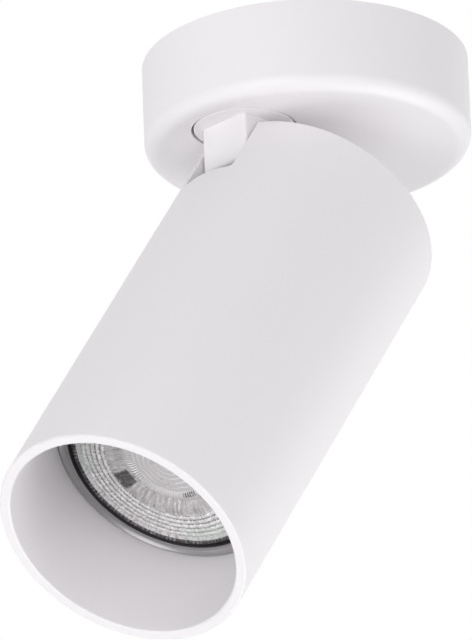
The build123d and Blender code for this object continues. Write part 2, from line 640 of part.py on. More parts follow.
def make_lamp_cradle():
    """Return the bent steel strap that carries the lampholder from the cap's bosses."""
    inner = CRADLE_HALF_SPAN - CRADLE_THICK
    foot = CRADLE_HALF_SPAN - CRADLE_FOOT_LENGTH
    half = Polyline(
        (0, HOLDER_REAR), (CRADLE_HALF_SPAN, HOLDER_REAR), (CRADLE_HALF_SPAN, CRADLE_FOOT),
        (foot, CRADLE_FOOT), (foot, CRADLE_FOOT + CRADLE_THICK), (inner, CRADLE_FOOT + CRADLE_THICK),
        (inner, CRADLE_REAR), (0, CRADLE_REAR), close=True)
    strap = extrude(Plane.XZ * make_face(half), CRADLE_WIDTH / 2, both=True)
    bends = strap.edges().filter_by(Axis.Y).filter_by(
        lambda edge: edge.center().X > inner - CRADLE_THICK / 2)
    strap = fillet(bends, CRADLE_BEND_RADIUS)
    strap += mirror(strap, Plane.YZ)
    strap -= rod(CRADLE_WIRE_RADIUS, CRADLE_REAR - OVERCUT, HOLDER_REAR + OVERCUT)
    for side in (-1, 1):
        holder_hole = rod(M3_RADIUS, CRADLE_REAR - OVERCUT, HOLDER_REAR + OVERCUT)
        strap -= Pos(side * HOLDER_SCREW_X, 0, 0) * holder_hole
        strap -= Pos(side * CAP_BOSS_X, 0, 0) * rod(M3_RADIUS, 0, CRADLE_REAR - OVERCUT)
    return strap


def make_cradle_screws():
    """Return the two screws that hold the cradle's feet to the cap."""
    length = CRADLE_THICK + CAP_BOSS_LENGTH - SCREW_TIP
    screw = Pos(0, 0, CRADLE_FOOT + CRADLE_THICK) * pan_screw(M3_RADIUS, length)
    return Compound([Pos(side * CAP_BOSS_X, 0, 0) * screw for side in (-1, 1)])


def pin_place(angle):
    """Return the place of a lamp pin at an angle round the axis."""
    return Pos(PIN_CIRCLE_RADIUS * math.cos(math.radians(angle)),
               PIN_CIRCLE_RADIUS * math.sin(math.radians(angle)), 0)


def twist_way(half_width, low, high):
    """Return one curved bayonet way, from the lamp's free place round to its locked one."""
    locked, free = 90.0, 90.0 + TWIST_ANGLE
    band = Circle(PIN_CIRCLE_RADIUS + half_width) - Circle(PIN_CIRCLE_RADIUS - half_width)
    reach = 3 * PIN_CIRCLE_RADIUS
    corners = [(0, 0)] + [
        (reach * math.cos(math.radians(angle)), reach * math.sin(math.radians(angle)))
        for angle in (free, locked)]
    way = extrude(band & make_face(Polyline(*corners, close=True)), high - low)
    for angle in (free, locked):
        way += pin_place(angle) * rod(half_width, 0, high - low)
    return Pos(0, 0, low) * way


def pair(solid):
    """Return a solid and its copy half a turn away."""
    return [solid, Rot(0, 0, 180) * solid]


def make_lampholder():
    """Return the ceramic lampholder with its two bayonet ways and screw counterbores."""
    outline = RectangleRounded(HOLDER_LENGTH, HOLDER_WIDTH, HOLDER_CORNER_RADIUS)
    body = Pos(0, 0, HOLDER_REAR) * extrude(outline, HOLDER_THICK)
    body = chamfer(highest_edges(body), HOLDER_CHAMFER)
    head_room = PIN_HEAD_RADIUS + SWEEP_GAP
    narrow = twist_way(PIN_RADIUS + SWEEP_GAP, POCKET_MOUTH - OVERCUT, HOLDER_FRONT + OVERCUT)
    wide = twist_way(head_room, POCKET_FLOOR, POCKET_MOUTH)
    entry = rod(head_room, POCKET_MOUTH - OVERCUT, HOLDER_FRONT + OVERCUT)
    for way in pair(narrow + wide + pin_place(90.0 + TWIST_ANGLE) * entry):
        body -= way
    for side in (-1, 1):
        place = Pos(side * HOLDER_SCREW_X, 0, 0)
        body -= place * rod(M3_RADIUS + FIT_GAP, HOLDER_REAR - OVERCUT, HOLDER_FRONT + OVERCUT)
        body -= place * rod(HOLDER_COUNTERBORE_RADIUS, HOLDER_FRONT - HOLDER_COUNTERBORE_DEPTH,
                            HOLDER_FRONT + OVERCUT)
    return body


def make_holder_contacts():
    """Return the two spring contacts on the floors of the bayonet ways."""
    plate = twist_way(PIN_HEAD_RADIUS, POCKET_FLOOR, POCKET_FLOOR + CONTACT_THICK)
    return Compound(pair(plate))


def make_holder_screws():
    """Return the two screws that hold the lampholder on the cradle."""
    seat = HOLDER_FRONT - HOLDER_COUNTERBORE_DEPTH
    screw = Pos(0, 0, seat) * pan_screw(M3_RADIUS, seat - CRADLE_REAR + SCREW_TIP)
    return Compound([Pos(side * HOLDER_SCREW_X, 0, 0) * screw for side in (-1, 1)])


def make_lamp_ring():
    """Return the trim ring: a stepped sloping face, a skirt on the tube and a raised inner lip."""
    lip_top = RING_FRONT + RING_LIP_RISE
    back = RING_FRONT - RING_FACE_THICK
    step_r = RING_INNER + RING_LIP_WIDTH
    step_z = RING_FRONT + RING_LIP_RISE / 2
    section = Polyline(
        (RING_OUTER, RING_FRONT - RING_SKIRT_LENGTH), (RING_OUTER, RING_FRONT), (step_r, step_z),
        (step_r, step_z + RING_STEP), (RING_INNER, lip_top), (RING_INNER, RING_FRONT - RING_LIP_LENGTH),
        (RING_INNER + RING_SKIRT_WALL, RING_FRONT - RING_LIP_LENGTH),
        (RING_INNER + RING_SKIRT_WALL, back), (RING_OUTER - RING_SKIRT_WALL, back),
        (RING_OUTER - RING_SKIRT_WALL, RING_FRONT - RING_SKIRT_LENGTH), close=True)
    body = revolve(Plane.XZ * make_face(section), Axis.Z)
    return fillet(highest_edges(body), RING_EDGE_RADIUS)


# ---- lamp, in the head's frame -----------------------------------------------------------


def lamp_profile(inset):
    """Return the half section of the lamp's bowl, moved inwards by an inset."""
    outer = LAMP_RADIUS - inset
    neck_radius = LAMP_BASE_RADIUS + LAMP_NECK_MARGIN - inset
    rim = LAMP_FRONT - LAMP_RIM_LENGTH
    top = LAMP_FRONT + OVERCUT
    curve = Spline((outer, rim), (neck_radius, LAMP_NECK), tangents=(BOWL_TOP_SLOPE, BOWL_LOW_SLOPE))
    straight = Polyline((neck_radius, LAMP_NECK), (0, LAMP_NECK), (0, top), (outer, top), (outer, rim))
    return make_face(curve + straight)


def make_lamp_bowl():
    """Return the lamp's outer bowl, open at the front."""
    outer = revolve(Plane.XZ * lamp_profile(0), Axis.Z)
    inner = Pos(0, 0, LAMP_WALL) * revolve(Plane.XZ * lamp_profile(LAMP_WALL), Axis.Z)
    trim = rod(2 * LAMP_RADIUS, LENS_SEAT, LAMP_FRONT + 2 * OVERCUT)
    return outer - inner - trim


def make_lamp_bezel():
    """Return the textured ring that clips the lens to the bowl."""
    bezel = ring(LAMP_RADIUS, LAMP_RADIUS - LAMP_RIM_LIP, LENS_SEAT, LAMP_FRONT)
    return fillet(highest_edges(bezel), LAMP_BEZEL_ROUND)


def make_lamp_lens():
    """Return the lens, turned from its section: band, ridges, sunk zone, crown and dome."""
    top, floor = LENS_TOP, LENS_TOP - LENS_BOWL_DROP
    pitch = (LENS_ROWS_RADIUS - LENS_BOWL_RADIUS) / LENS_ROW_COUNT
    crown, dome = LENS_CROWN_RADIUS - LENS_CROWN_WIDTH, floor + LENS_DOME_RISE
    section = Line((LENS_RADIUS, top), (LENS_ROWS_RADIUS, top))
    for row in range(LENS_ROW_COUNT):
        start = LENS_ROWS_RADIUS - row * pitch
        section += ridge(start, top, start - pitch, top, LENS_ROW_RISE)
    section += Polyline((LENS_BOWL_RADIUS, top), (LENS_BOWL_RADIUS - LENS_BOWL_TAPER, floor),
                        (LENS_CROWN_RADIUS, floor))
    section += ridge(LENS_CROWN_RADIUS, floor, crown, floor, LENS_CROWN_RISE)
    section += TangentArc((0, dome), (crown, floor), tangent=(1, 0))
    section += Polyline((0, dome), (0, LENS_SEAT), (LENS_RADIUS, LENS_SEAT), (LENS_RADIUS, top))
    return revolve(Plane.XZ * make_face(section), Axis.Z)


def ridge(start_r, start_z, end_r, end_z, rise):
    """Return the arc of one round ridge of the lens between two points of its section."""
    middle = ((start_r + end_r) / 2, (start_z + end_z) / 2 + rise)
    return ThreePointArc((start_r, start_z), middle, (end_r, end_z))


def make_led_board():
    """Return the round board on its seat inside the bowl."""
    floor = LAMP_NECK + LAMP_WALL
    return rod(BOARD_RADIUS, floor, floor + BOARD_THICK)


def make_led_chips():
    """Return the light sources on the board."""
    chip = Pos(0, 0, LAMP_NECK + LAMP_WALL + BOARD_THICK) * Box(
        CHIP_SIZE, CHIP_SIZE, CHIP_THICK, align=ON_BASE)
    circle = [Rot(0, 0, step * 360.0 / CHIP_COUNT) * Pos(CHIP_CIRCLE_RADIUS, 0, 0) * chip
              for step in range(CHIP_COUNT)]
    return Compound([chip] + circle)


def make_lamp_base():
    """Return the moulded base between the bowl and the pins, with a flat on each side."""
    base = rod(LAMP_BASE_RADIUS, LAMP_REAR, LAMP_NECK)
    flat, reach = LAMP_BASE_RADIUS - BASE_FLAT_INSET, LAMP_BASE_RADIUS + OVERCUT
    for low, high in ((flat, reach), (-reach, -flat)):
        base -= block(low, high, -reach, reach, LAMP_REAR - OVERCUT, LAMP_NECK - BASE_COLLAR)
    base = chamfer(lowest_edges(base), BASE_CHAMFER)
    for side in (90.0, 270.0):
        base -= pin_place(side) * rod(PIN_RADIUS, LAMP_REAR - OVERCUT,
                                      LAMP_REAR + LAMP_BASE_LENGTH / 2)
    return base


def make_lamp_pins():
    """Return the two headed contact pins."""
    low = LAMP_REAR - LAMP_PIN_LENGTH
    head = rod(PIN_HEAD_RADIUS, low, low + PIN_HEAD_LENGTH)
    head = chamfer(lowest_edges(head), PIN_CHAMFER)
    pin = head + rod(PIN_RADIUS, low + PIN_CHAMFER, LAMP_REAR + LAMP_BASE_LENGTH / 2)
    return Compound([pin_place(side) * pin for side in (90.0, 270.0)])


CEILING_PIECES = {
    "canopy": make_canopy,
    "ceiling_bracket": make_ceiling_bracket,
    "canopy_screw": make_canopy_screw,
    "earth_tag": make_earth_tag,
    "earth_screw": make_earth_screw,
    "terminal_block": make_terminal_block,
    "terminal_tubes": make_terminal_tubes,
    "terminal_screws": make_terminal_screws,
    "block_screw": make_block_screw,
    "hinge_post": make_hinge_post,
    "thrust_washer": make_thrust_washer,
    "friction_washer": make_friction_washer,
    "stop_washer": make_stop_washer,
    "wave_washer": make_wave_washer,
    "swivel_nut": make_swivel_nut,
    "cable_bush": make_cable_bush,
    "pivot_screws": make_pivot_screws,
    "pivot_washers": make_pivot_washers,
}

HEAD_PIECES = {
    "head_tube": make_head_tube,
    "rear_cap": make_rear_cap,
    "cap_screw": make_cap_screw,
    "lamp_cradle": make_lamp_cradle,
    "cradle_screws": make_cradle_screws,
    "lampholder": make_lampholder,
    "holder_contacts": make_holder_contacts,
    "holder_screws": make_holder_screws,
    "lamp_ring": make_lamp_ring,
    "lamp_bowl": make_lamp_bowl,
    "lamp_bezel": make_lamp_bezel,
    "lamp_lens": make_lamp_lens,
    "led_board": make_led_board,
    "led_chips": make_led_chips,
    "lamp_base": make_lamp_base,
    "lamp_pins": make_lamp_pins,
}

os.makedirs("parts", exist_ok=True)
for name, make in CEILING_PIECES.items():
    export_step(make(), f"parts/{name}.step")
for name, make in HEAD_PIECES.items():
    export_step(HEAD * make(), f"parts/{name}.step")
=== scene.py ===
"""Looks of a surface mounted ceiling spotlight: a white canopy, a hinge post and a tubular head.

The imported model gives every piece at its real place, in metres, with +Z up into the ceiling and
the light aiming towards -Y. This script dresses those pieces, makes the faceted lamp optic and
the other fine forms, and sets up the camera, the lamps and the white studio.
"""

from __future__ import annotations

import json
import logging
import math
from dataclasses import dataclass, field
from enum import Enum
from typing import Any, Callable, Sequence

import bmesh
import bpy
from mathutils import Matrix, Vector

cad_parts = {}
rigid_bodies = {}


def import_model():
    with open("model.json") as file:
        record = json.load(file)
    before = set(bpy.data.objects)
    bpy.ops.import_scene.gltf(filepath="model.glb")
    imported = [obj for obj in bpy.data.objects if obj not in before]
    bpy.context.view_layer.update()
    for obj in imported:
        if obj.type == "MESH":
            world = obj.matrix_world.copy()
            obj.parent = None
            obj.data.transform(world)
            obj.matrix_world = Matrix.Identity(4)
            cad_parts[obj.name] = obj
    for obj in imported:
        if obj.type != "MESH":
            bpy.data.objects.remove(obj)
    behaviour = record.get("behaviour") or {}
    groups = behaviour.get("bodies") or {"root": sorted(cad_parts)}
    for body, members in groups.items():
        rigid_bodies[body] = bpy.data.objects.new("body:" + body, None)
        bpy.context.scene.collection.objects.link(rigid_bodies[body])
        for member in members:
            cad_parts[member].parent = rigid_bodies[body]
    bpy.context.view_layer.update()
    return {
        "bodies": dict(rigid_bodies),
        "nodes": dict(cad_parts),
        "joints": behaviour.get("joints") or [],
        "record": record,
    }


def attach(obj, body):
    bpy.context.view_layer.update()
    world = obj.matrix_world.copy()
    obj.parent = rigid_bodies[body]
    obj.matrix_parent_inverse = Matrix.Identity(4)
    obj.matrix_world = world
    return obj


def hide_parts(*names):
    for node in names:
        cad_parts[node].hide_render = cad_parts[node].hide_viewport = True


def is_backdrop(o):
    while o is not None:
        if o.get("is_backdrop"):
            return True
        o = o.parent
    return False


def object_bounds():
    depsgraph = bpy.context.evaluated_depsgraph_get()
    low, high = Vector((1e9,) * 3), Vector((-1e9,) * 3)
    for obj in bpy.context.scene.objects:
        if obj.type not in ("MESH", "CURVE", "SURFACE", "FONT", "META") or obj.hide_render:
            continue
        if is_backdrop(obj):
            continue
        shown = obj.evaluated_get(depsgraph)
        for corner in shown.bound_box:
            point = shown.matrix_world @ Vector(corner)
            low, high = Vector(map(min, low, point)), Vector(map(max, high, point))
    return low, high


LOG = logging.getLogger("spotlight")
MM = 0.001
TURN = 2 * math.pi
Colour = tuple[float, float, float]
Point = tuple[float, float, float]
Profile = Sequence[tuple[float, float]]


def dimmed(colour: Colour, share: float) -> Colour:
    """Return a colour at a share of its brightness."""
    return colour[0] * share, colour[1] * share, colour[2] * share


class Body(Enum):
    """The moving bodies that this script's own pieces ride on."""

    SWIVEL = "swivel_body"
    HEAD = "head_body"
    LAMP = "lamp_body"


# ---- shader expressions -----------------------------------------------------------------


class Wire:
    """One node socket that takes part in Python expressions."""

    def __init__(self, bench: "Bench", socket: bpy.types.NodeSocket) -> None:
        """Wrap a socket.

        Args:
            bench: The node tree's bench, which adds the nodes of an expression.
            socket: The output socket that carries the value.
        """
        self.bench = bench
        self.socket = socket

    def maths(self, operation: str, *operands: "Wire | float") -> "Wire":
        """Add one Math node.

        Args:
            operation: The Math node's operation.
            operands: Its inputs in order, as wires or numbers.

        Returns:
            The node's result.
        """
        inputs = dict(enumerate(operands))
        return self.bench.node("ShaderNodeMath", {"operation": operation}, inputs)[0]

    def __add__(self, other: "Wire | float") -> "Wire":
        """Return self + other."""
        return self.maths("ADD", self, other)

    def __radd__(self, other: float) -> "Wire":
        """Return other + self."""
        return self.maths("ADD", other, self)

    def __sub__(self, other: "Wire | float") -> "Wire":
        """Return self - other."""
        return self.maths("SUBTRACT", self, other)

    def __rsub__(self, other: float) -> "Wire":
        """Return other - self."""
        return self.maths("SUBTRACT", other, self)

    def __mul__(self, other: "Wire | float") -> "Wire":
        """Return self * other."""
        return self.maths("MULTIPLY", self, other)

    def __rmul__(self, other: float) -> "Wire":
        """Return other * self."""
        return self.maths("MULTIPLY", other, self)

    def __truediv__(self, other: "Wire | float") -> "Wire":
        """Return self / other."""
        return self.maths("DIVIDE", self, other)

    def __pow__(self, power: float) -> "Wire":
        """Return self raised to a power."""
        return self.maths("POWER", self, power)

    def clamp(self) -> "Wire":
        """Return the value held between 0 and 1."""
        return self.maths("MINIMUM", self.maths("MAXIMUM", self, 0.0), 1.0)

    def ramp(self, start: float, gain: float) -> "Wire":
        """Return 0 up to a value and then a rise to 1, or the reverse with a negative gain."""
        return ((self - start) * gain).clamp()

    def fraction(self) -> "Wire":
        """Return what is left of the value after its whole part."""
        return self.maths("FRACT", self)

    def size(self) -> "Wire":
        """Return the value without its sign."""
        return self.maths("ABSOLUTE", self)

    def edge_of_cell(self) -> "Wire":
        """Return 1 at whole values and 0 half-way between them."""
        return 2.0 * (self.fraction() - 0.5).size()

    def within(self, low: float, high: float, soft: float) -> "Wire":
        """Return 1 between two values and 0 outside them, with soft ends.

        Args:
            low: The lower value.
            high: The upper value.
            soft: How far the change reaches at each end.

        Returns:
            The mask.
        """
        rise = ((self - low) / soft + 0.5).clamp()
        return rise * ((high - self) / soft + 0.5).clamp()


class Outlets:
    """The outputs of one node, by name or by number."""

    def __init__(self, bench: "Bench", node: bpy.types.Node) -> None:
        """Wrap a node's outputs.

        Args:
            bench: The node tree's bench.
            node: The node.
        """
        self.bench = bench
        self.node = node

    def __getitem__(self, key: str | int) -> Wire:
        """Return one output as a wire."""
        return Wire(self.bench, self.node.outputs[key])


class Bench:
    """A node tree, and the one way in which this script adds nodes to it."""

    def __init__(self, tree: bpy.types.NodeTree) -> None:
        """Empty a node tree and take it over.

        Args:
            tree: The tree of a material or of the world.
        """
        self.tree = tree
        tree.nodes.clear()

    def node(self, kind: str, settings: dict[str, Any] | None = None,
             inputs: dict[str | int, Any] | None = None) -> Outlets:
        """Add a node.

        Args:
            kind: The node's type.
            settings: Its settings, set before its sockets.
            inputs: Values or wires by the socket's name or number.

        Returns:
            The node's outputs.
        """
        made = self.tree.nodes.new(kind)
        for name, value in (settings or {}).items():
            setattr(made, name, value)
        for key, value in (inputs or {}).items():
            if isinstance(value, Wire):
                self.tree.links.new(value.socket, made.inputs[key])
            else:
                made.inputs[key].default_value = value
        return Outlets(self, made)

    def object_point(self) -> Wire:
        """Return the shaded point in the piece's own space, in metres."""
        return self.node("ShaderNodeTexCoord")["Object"]

    def polar(self, point: Wire) -> tuple[Wire, Wire]:
        """Return a point's distance from the Z axis and its place round it.

        Args:
            point: The point in metres.

        Returns:
            The distance in millimetres, and the angle as a share of a turn.
        """
        parts = self.node("ShaderNodeSeparateXYZ", {}, {0: point})
        x, y = parts[0], parts[1]
        radius = (x * x + y * y) ** 0.5
        return radius * (1 / MM), x.maths("ARCTAN2", y, x) / TURN

    def noise(self, point: Wire, size: float, detail: float = 2.0, rough: float = 0.5) -> Wire:
        """Return smooth noise.

        Args:
            point: Where it is read.
            size: The size of its largest lumps in metres.
            detail: How many finer layers it has.
            rough: How strong those are.

        Returns:
            A number about 0.5.
        """
        return self.node("ShaderNodeTexNoise", {}, {
            "Vector": point, "Scale": 1.0 / size, "Detail": detail, "Roughness": rough})["Fac"]

    def mix(self, factor: Wire | float, first: Any, second: Any) -> Wire:
        """Return a mix of two colours.

        Args:
            factor: 0 gives the first and 1 the second.
            first: A wire or a colour.
            second: A wire or a colour.

        Returns:
            The mixed colour.
        """
        first, second = (c if isinstance(c, Wire) else (*c, 1.0) for c in (first, second))
        mixed = self.node("ShaderNodeMix", {"data_type": "RGBA"}, {0: factor, 6: first, 7: second})
        return mixed[2]

    def squeeze(self, point: Wire, scale: Sequence[float]) -> Wire:
        """Return a point stretched along its axes.

        Args:
            point: The point.
            scale: The factor on each axis.

        Returns:
            The moved point.
        """
        return self.node("ShaderNodeVectorMath", {"operation": "MULTIPLY"},
                         {0: point, 1: tuple(scale)})[0]

    def bump(self, height: Wire, depth: float) -> Wire:
        """Return a normal that a height bends.

        Args:
            height: The height, from 0 to 1.
            depth: The depth in metres that a height of 1 stands for.

        Returns:
            The bent normal.
        """
        return self.node("ShaderNodeBump", {}, {"Height": height, "Distance": depth})[0]

    def surface(self, inputs: dict[str | int, Any]) -> None:
        """End the tree in a Principled surface.

        Args:
            inputs: Values or wires by the shader's socket names.
        """
        shader = self.node("ShaderNodeBsdfPrincipled", {}, inputs)
        self.node("ShaderNodeOutputMaterial", {}, {"Surface": shader["BSDF"]})


# ---- the optic's plan, which its mesh and its finish share --------------------------------


@dataclass(frozen=True)
class OpticPlan:
    """The zones of the lamp's optic, from its edge inwards.

    Sizes are in millimetres, angles in degrees and shares between 0 and 1.
    """

    radius: float = 23.75
    edge_rise: float = 0.08
    rows_outer: float = 22.5
    rows_inner: float = 16.1
    row_count: int = 5
    row_rise: float = 0.30
    beads: int = 120
    bead_share: float = 0.45
    floor: float = -0.9
    slope_outer: float = 14.6
    slope_inner: float = 12.4
    first_drop: float = 0.08
    flutes: int = 66
    flute_rise: float = 0.16
    crown_outer: float = 11.8
    crown_inner: float = 9.5
    crown_beads: int = 96
    crown_rise: float = 0.5
    tooth_share: float = 0.25
    dome_rise: float = 0.9
    ripple: float = 0.02
    ripple_pitch: float = 1.6
    # The painted dark reflections on the bowl and the painted flash on the crown come back this
    # many times in a turn, and so does the green tinge.
    windows: int = 3
    painted_dark_angle: float = 178.0
    painted_dark_half: float = 9.5
    painted_dark_inner: float = 12.4
    painted_flash_half: float = 11.0
    dash_angle: float = -99.0
    dash_half: float = 10.0
    dash_outer: float = 10.9
    dash_inner: float = 9.6
    tinge_angle: float = 142.0
    tinge_half: float = 22.0
    tinge_outer: float = 23.9
    tinge_inner: float = 19.8

    @property
    def row_pitch(self) -> float:
        """Return the width of one row of beads."""
        return (self.rows_outer - self.rows_inner) / self.row_count

    @staticmethod
    def facet(turn: float, count: int) -> float:
        """Return 1 at the middle of each of the facets round the optic and 0 between two."""
        return abs(math.cos(math.pi * turn * count))

    def height(self, radius: float, turn: float) -> float:
        """Return the optic's height over its face plane.

        Args:
            radius: The distance from the axis.
            turn: The angle as a share of a turn.

        Returns:
            The height, below zero where the optic is sunk.
        """
        if radius >= self.rows_outer:
            return self.edge_rise * self.facet(turn, self.beads)
        if radius >= self.rows_inner:
            return self.row_height(radius, turn)
        if radius >= self.crown_outer:
            return self.bowl_height(radius, turn)
        if radius >= self.crown_inner:
            return self.crown_height(radius, turn)
        share = radius / self.crown_inner
        ripple = self.ripple * math.cos(TURN * radius / self.ripple_pitch)
        return self.floor + (self.dome_rise + ripple) * (1 - share ** 2)

    def row_height(self, radius: float, turn: float) -> float:
        """Return the height of the rows of beads.

        Args:
            radius: The distance from the axis.
            turn: The angle as a share of a turn.

        Returns:
            The height.
        """
        across = 2 * (((self.rows_outer - radius) / self.row_pitch) % 1.0) - 1
        bead = 1 - self.bead_share + self.bead_share * self.facet(turn, self.beads)
        return self.row_rise * (1 - across ** 2) * bead

    def bowl_height(self, radius: float, turn: float) -> float:
        """Return the height of the fluted bowl, which falls smoothly to its floor.

        Args:
            radius: The distance from the axis.
            turn: The angle as a share of a turn.

        Returns:
            The height.
        """
        drop = (self.slope_outer - radius) / (self.slope_outer - self.slope_inner)
        drop = min(max(drop, 0.0), 1.0)
        drop = self.first_drop + (1 - self.first_drop) * drop * drop * (3 - 2 * drop)
        share = (radius - self.crown_outer) / (self.rows_inner - self.crown_outer)
        fade = math.sin(math.pi * share)
        return self.floor * drop + self.flute_rise * fade * self.facet(turn, self.flutes)

    def crown_height(self, radius: float, turn: float) -> float:
        """Return the height of the toothed crown round the dome.

        Args:
            radius: The distance from the axis.
            turn: The angle as a share of a turn.

        Returns:
            The height.
        """
        across = 2 * (radius - self.crown_inner) / (self.crown_outer - self.crown_inner) - 1
        tooth = 1 - self.tooth_share + self.tooth_share * self.facet(turn, self.crown_beads)
        return self.floor + self.crown_rise * (1 - across ** 2) * tooth

    def circles(self) -> list[float]:
        """Return the radii of the optic's mesh, from the axis outwards.

        Each zone is a span between two radii with its own number of circles.

        Returns:
            The radii in millimetres.
        """
        spans = [(0.0, self.crown_inner, 30), (self.crown_inner, self.crown_outer, 10),
                 (self.crown_outer, self.rows_inner, 14),
                 (self.rows_inner, self.rows_outer, 8 * self.row_count),
                 (self.rows_outer, self.radius, 4)]
        radii = [0.0]
        for low, high, count in spans:
            radii += [low + (high - low) * item / count for item in range(1, count + 1)]
        return radii


# ---- finishes ---------------------------------------------------------------------------


class Finish:
    """A finish of the object, which makes its material once and dresses pieces with it."""

    label: str = "finish"
    _made: dict[str, bpy.types.Material] = {}

    def build(self, bench: Bench) -> None:
        """Draw the finish on an empty node tree."""
        raise NotImplementedError

    def material(self) -> bpy.types.Material:
        """Make the finish's material at the first call, and keep it.

        Returns:
            The material.
        """
        if self.label not in self._made:
            made = bpy.data.materials.new(self.label)
            made.use_nodes = True
            self.build(Bench(made.node_tree))
            self._made[self.label] = made
        return self._made[self.label]

    def dress(self, piece: bpy.types.Object) -> None:
        """Put the finish on every slot of a piece.

        Args:
            piece: The mesh object.
        """
        if not piece.material_slots:
            piece.data.materials.append(None)
        for holder in piece.material_slots:
            holder.material = self.material()


@dataclass(frozen=True)
class PowderCoat(Finish):
    """Satin powder coat with its faint orange peel."""

    label: str = "white_powder_coat"
    tint: Colour = (0.900, 0.876, 0.897)
    clouding: float = 0.97
    cloud_size: float = 0.03
    roughness: float = 0.42
    peel_size: float = 0.0012
    peel_depth: float = 0.000014

    def build(self, bench: Bench) -> None:
        """Draw the coat: a fine peel, faint clouding and a soft gloss.

        Args:
            bench: The material's bench.
        """
        point = bench.object_point()
        peel = bench.noise(point, self.peel_size)
        cloud = bench.noise(point, self.cloud_size, 1.0)
        bench.surface({
            "Base Color": bench.mix(cloud * 0.8, self.tint, dimmed(self.tint, self.clouding)),
            "Roughness": self.roughness + 0.10 * (peel - 0.5),
            "Normal": bench.bump(peel, self.peel_depth)})


@dataclass(frozen=True)
class Metal(Finish):
    """Plated, drawn or turned metal with fine marks along one axis."""

    label: str = "zinc_plate"
    tint: Colour = (0.62, 0.62, 0.61)
    clouding: float = 0.8
    cloud_size: float = 0.004
    roughness: float = 0.32
    grain: tuple[float, float, float] = (0.06, 1.0, 1.0)
    grain_size: float = 0.0004
    mark_depth: float = 0.000006

    def build(self, bench: Bench) -> None:
        """Draw the metal: streaks along the grain, clouded plating and small dents.

        Args:
            bench: The material's bench.
        """
        point = bench.object_point()
        streak = bench.noise(bench.squeeze(point, self.grain), self.grain_size, 3.0, 0.6)
        cloud = bench.noise(point, self.cloud_size, 3.0, 0.6)
        worn = self.roughness + 0.22 * (cloud - 0.5) + 0.10 * (streak - 0.5)
        bench.surface({
            "Base Color": bench.mix(cloud, self.tint, dimmed(self.tint, self.clouding)),
            "Metallic": 1.0,
            "Roughness": worn.clamp(),
            "Normal": bench.bump(streak, self.mark_depth)})


@dataclass(frozen=True)
class Moulding(Finish):
    """Moulded nylon, ceramic or board, with a fine mottle and a matt grain."""

    label: str = "nylon"
    tint: Colour = (0.80, 0.79, 0.75)
    mottle: Colour = (0.72, 0.71, 0.67)
    mottle_size: float = 0.006
    roughness: float = 0.45
    grain_size: float = 0.0005
    grain_depth: float = 0.00002

    def build(self, bench: Bench) -> None:
        """Draw the moulding: a mottle of two colours under a grain.

        Args:
            bench: The material's bench.
        """
        point = bench.object_point()
        grain = bench.noise(point, self.grain_size, 3.0, 0.6)
        flow = bench.noise(point, self.mottle_size, 3.0, 0.55)
        bench.surface({
            "Base Color": bench.mix(flow, self.tint, self.mottle),
            "Roughness": (self.roughness + 0.2 * (grain - 0.5)).clamp(),
            "Normal": bench.bump(grain, self.grain_depth)})


@dataclass(frozen=True)
class GlossRing(Finish):
    """The trim ring's glossy grey, with faint turned lines, a black inner step and a painted
    shadow line at its outer edge.
    """

    label: str = "ring_gloss"
    tint: Colour = (0.37, 0.355, 0.365)
    black: Colour = (0.02, 0.018, 0.02)
    clouding: float = 0.78
    cloud_size: float = 0.006
    roughness: float = 0.30
    lacquer_roughness: float = 0.08
    line_pitch: float = 0.42
    line_depth: float = 0.000004
    grey_inner: float = 25.92
    grey_outer: float = 28.5

    def build(self, bench: Bench) -> None:
        """Draw the ring: grey lacquer over turned lines, and black outside the grey face, which is
        a black inner step and a painted shadow line at the outer chamfer.

        Args:
            bench: The material's bench.
        """
        point = bench.object_point()
        radius, _ = bench.polar(point)
        cloud = bench.noise(point, self.cloud_size)
        line = (radius / self.line_pitch).edge_of_cell()
        shade = dimmed(self.tint, self.clouding)
        grey = bench.mix((0.6 * cloud + 0.3 * line).clamp(), self.tint, shade)
        # Painted shade: the black at the outer chamfer stands for the shadow in the gap to the
        # tube wall; the black inside is the ring's inner step.
        dark_and_painted_shade = 1.0 - radius.within(self.grey_inner, self.grey_outer, 0.08)
        bench.surface({
            "Base Color": bench.mix(dark_and_painted_shade, grey, self.black),
            "Metallic": 0.7 * (1.0 - dark_and_painted_shade),
            "Roughness": self.roughness + 0.10 * (cloud - 0.5) + 0.3 * dark_and_painted_shade,
            "Coat Weight": 0.5 * (1.0 - dark_and_painted_shade),
            "Coat Roughness": self.lacquer_roughness,
            "Normal": bench.bump(line, self.line_depth)})


@dataclass(frozen=True)
class DarkRib(Finish):
    """The dark band at the lamp's edge: moulded black with broken, scratchy marks of painted
    sheen.
    """

    label: str = "bezel_dark"
    tint: Colour = (0.030, 0.026, 0.029)
    painted_sheen: Colour = (0.24, 0.225, 0.235)
    cells: int = 150
    speck_size: float = 0.0009
    speck_depth: float = 0.00006
    drift_size: float = 0.006
    painted_sheen_radius: float = 24.35

    def build(self, bench: Bench) -> None:
        """Draw the band: short marks of painted sheen across it that come and go, most of them
        beside the optic.

        Args:
            bench: The material's bench.
        """
        point = bench.object_point()
        radius, turn = bench.polar(point)
        speck = bench.noise(point, self.speck_size, 3.0, 0.7)
        drift = bench.noise(point, self.drift_size)
        # Painted sheen: lighter grey marks on the black, strongest beside the optic.
        inside = radius.within(0.0, self.painted_sheen_radius, 0.3)
        painted_sheen_marks = (turn * self.cells).edge_of_cell() * 0.35 + 1.6 * (speck - 0.5) + drift - 0.5
        mask = ((painted_sheen_marks - 0.15) * 2.4 + 0.45 * inside).clamp()
        bench.surface({
            "Base Color": bench.mix(mask, self.tint, self.painted_sheen),
            "Roughness": 0.30 + 0.25 * speck,
            "Normal": bench.bump(speck, self.speck_depth)})


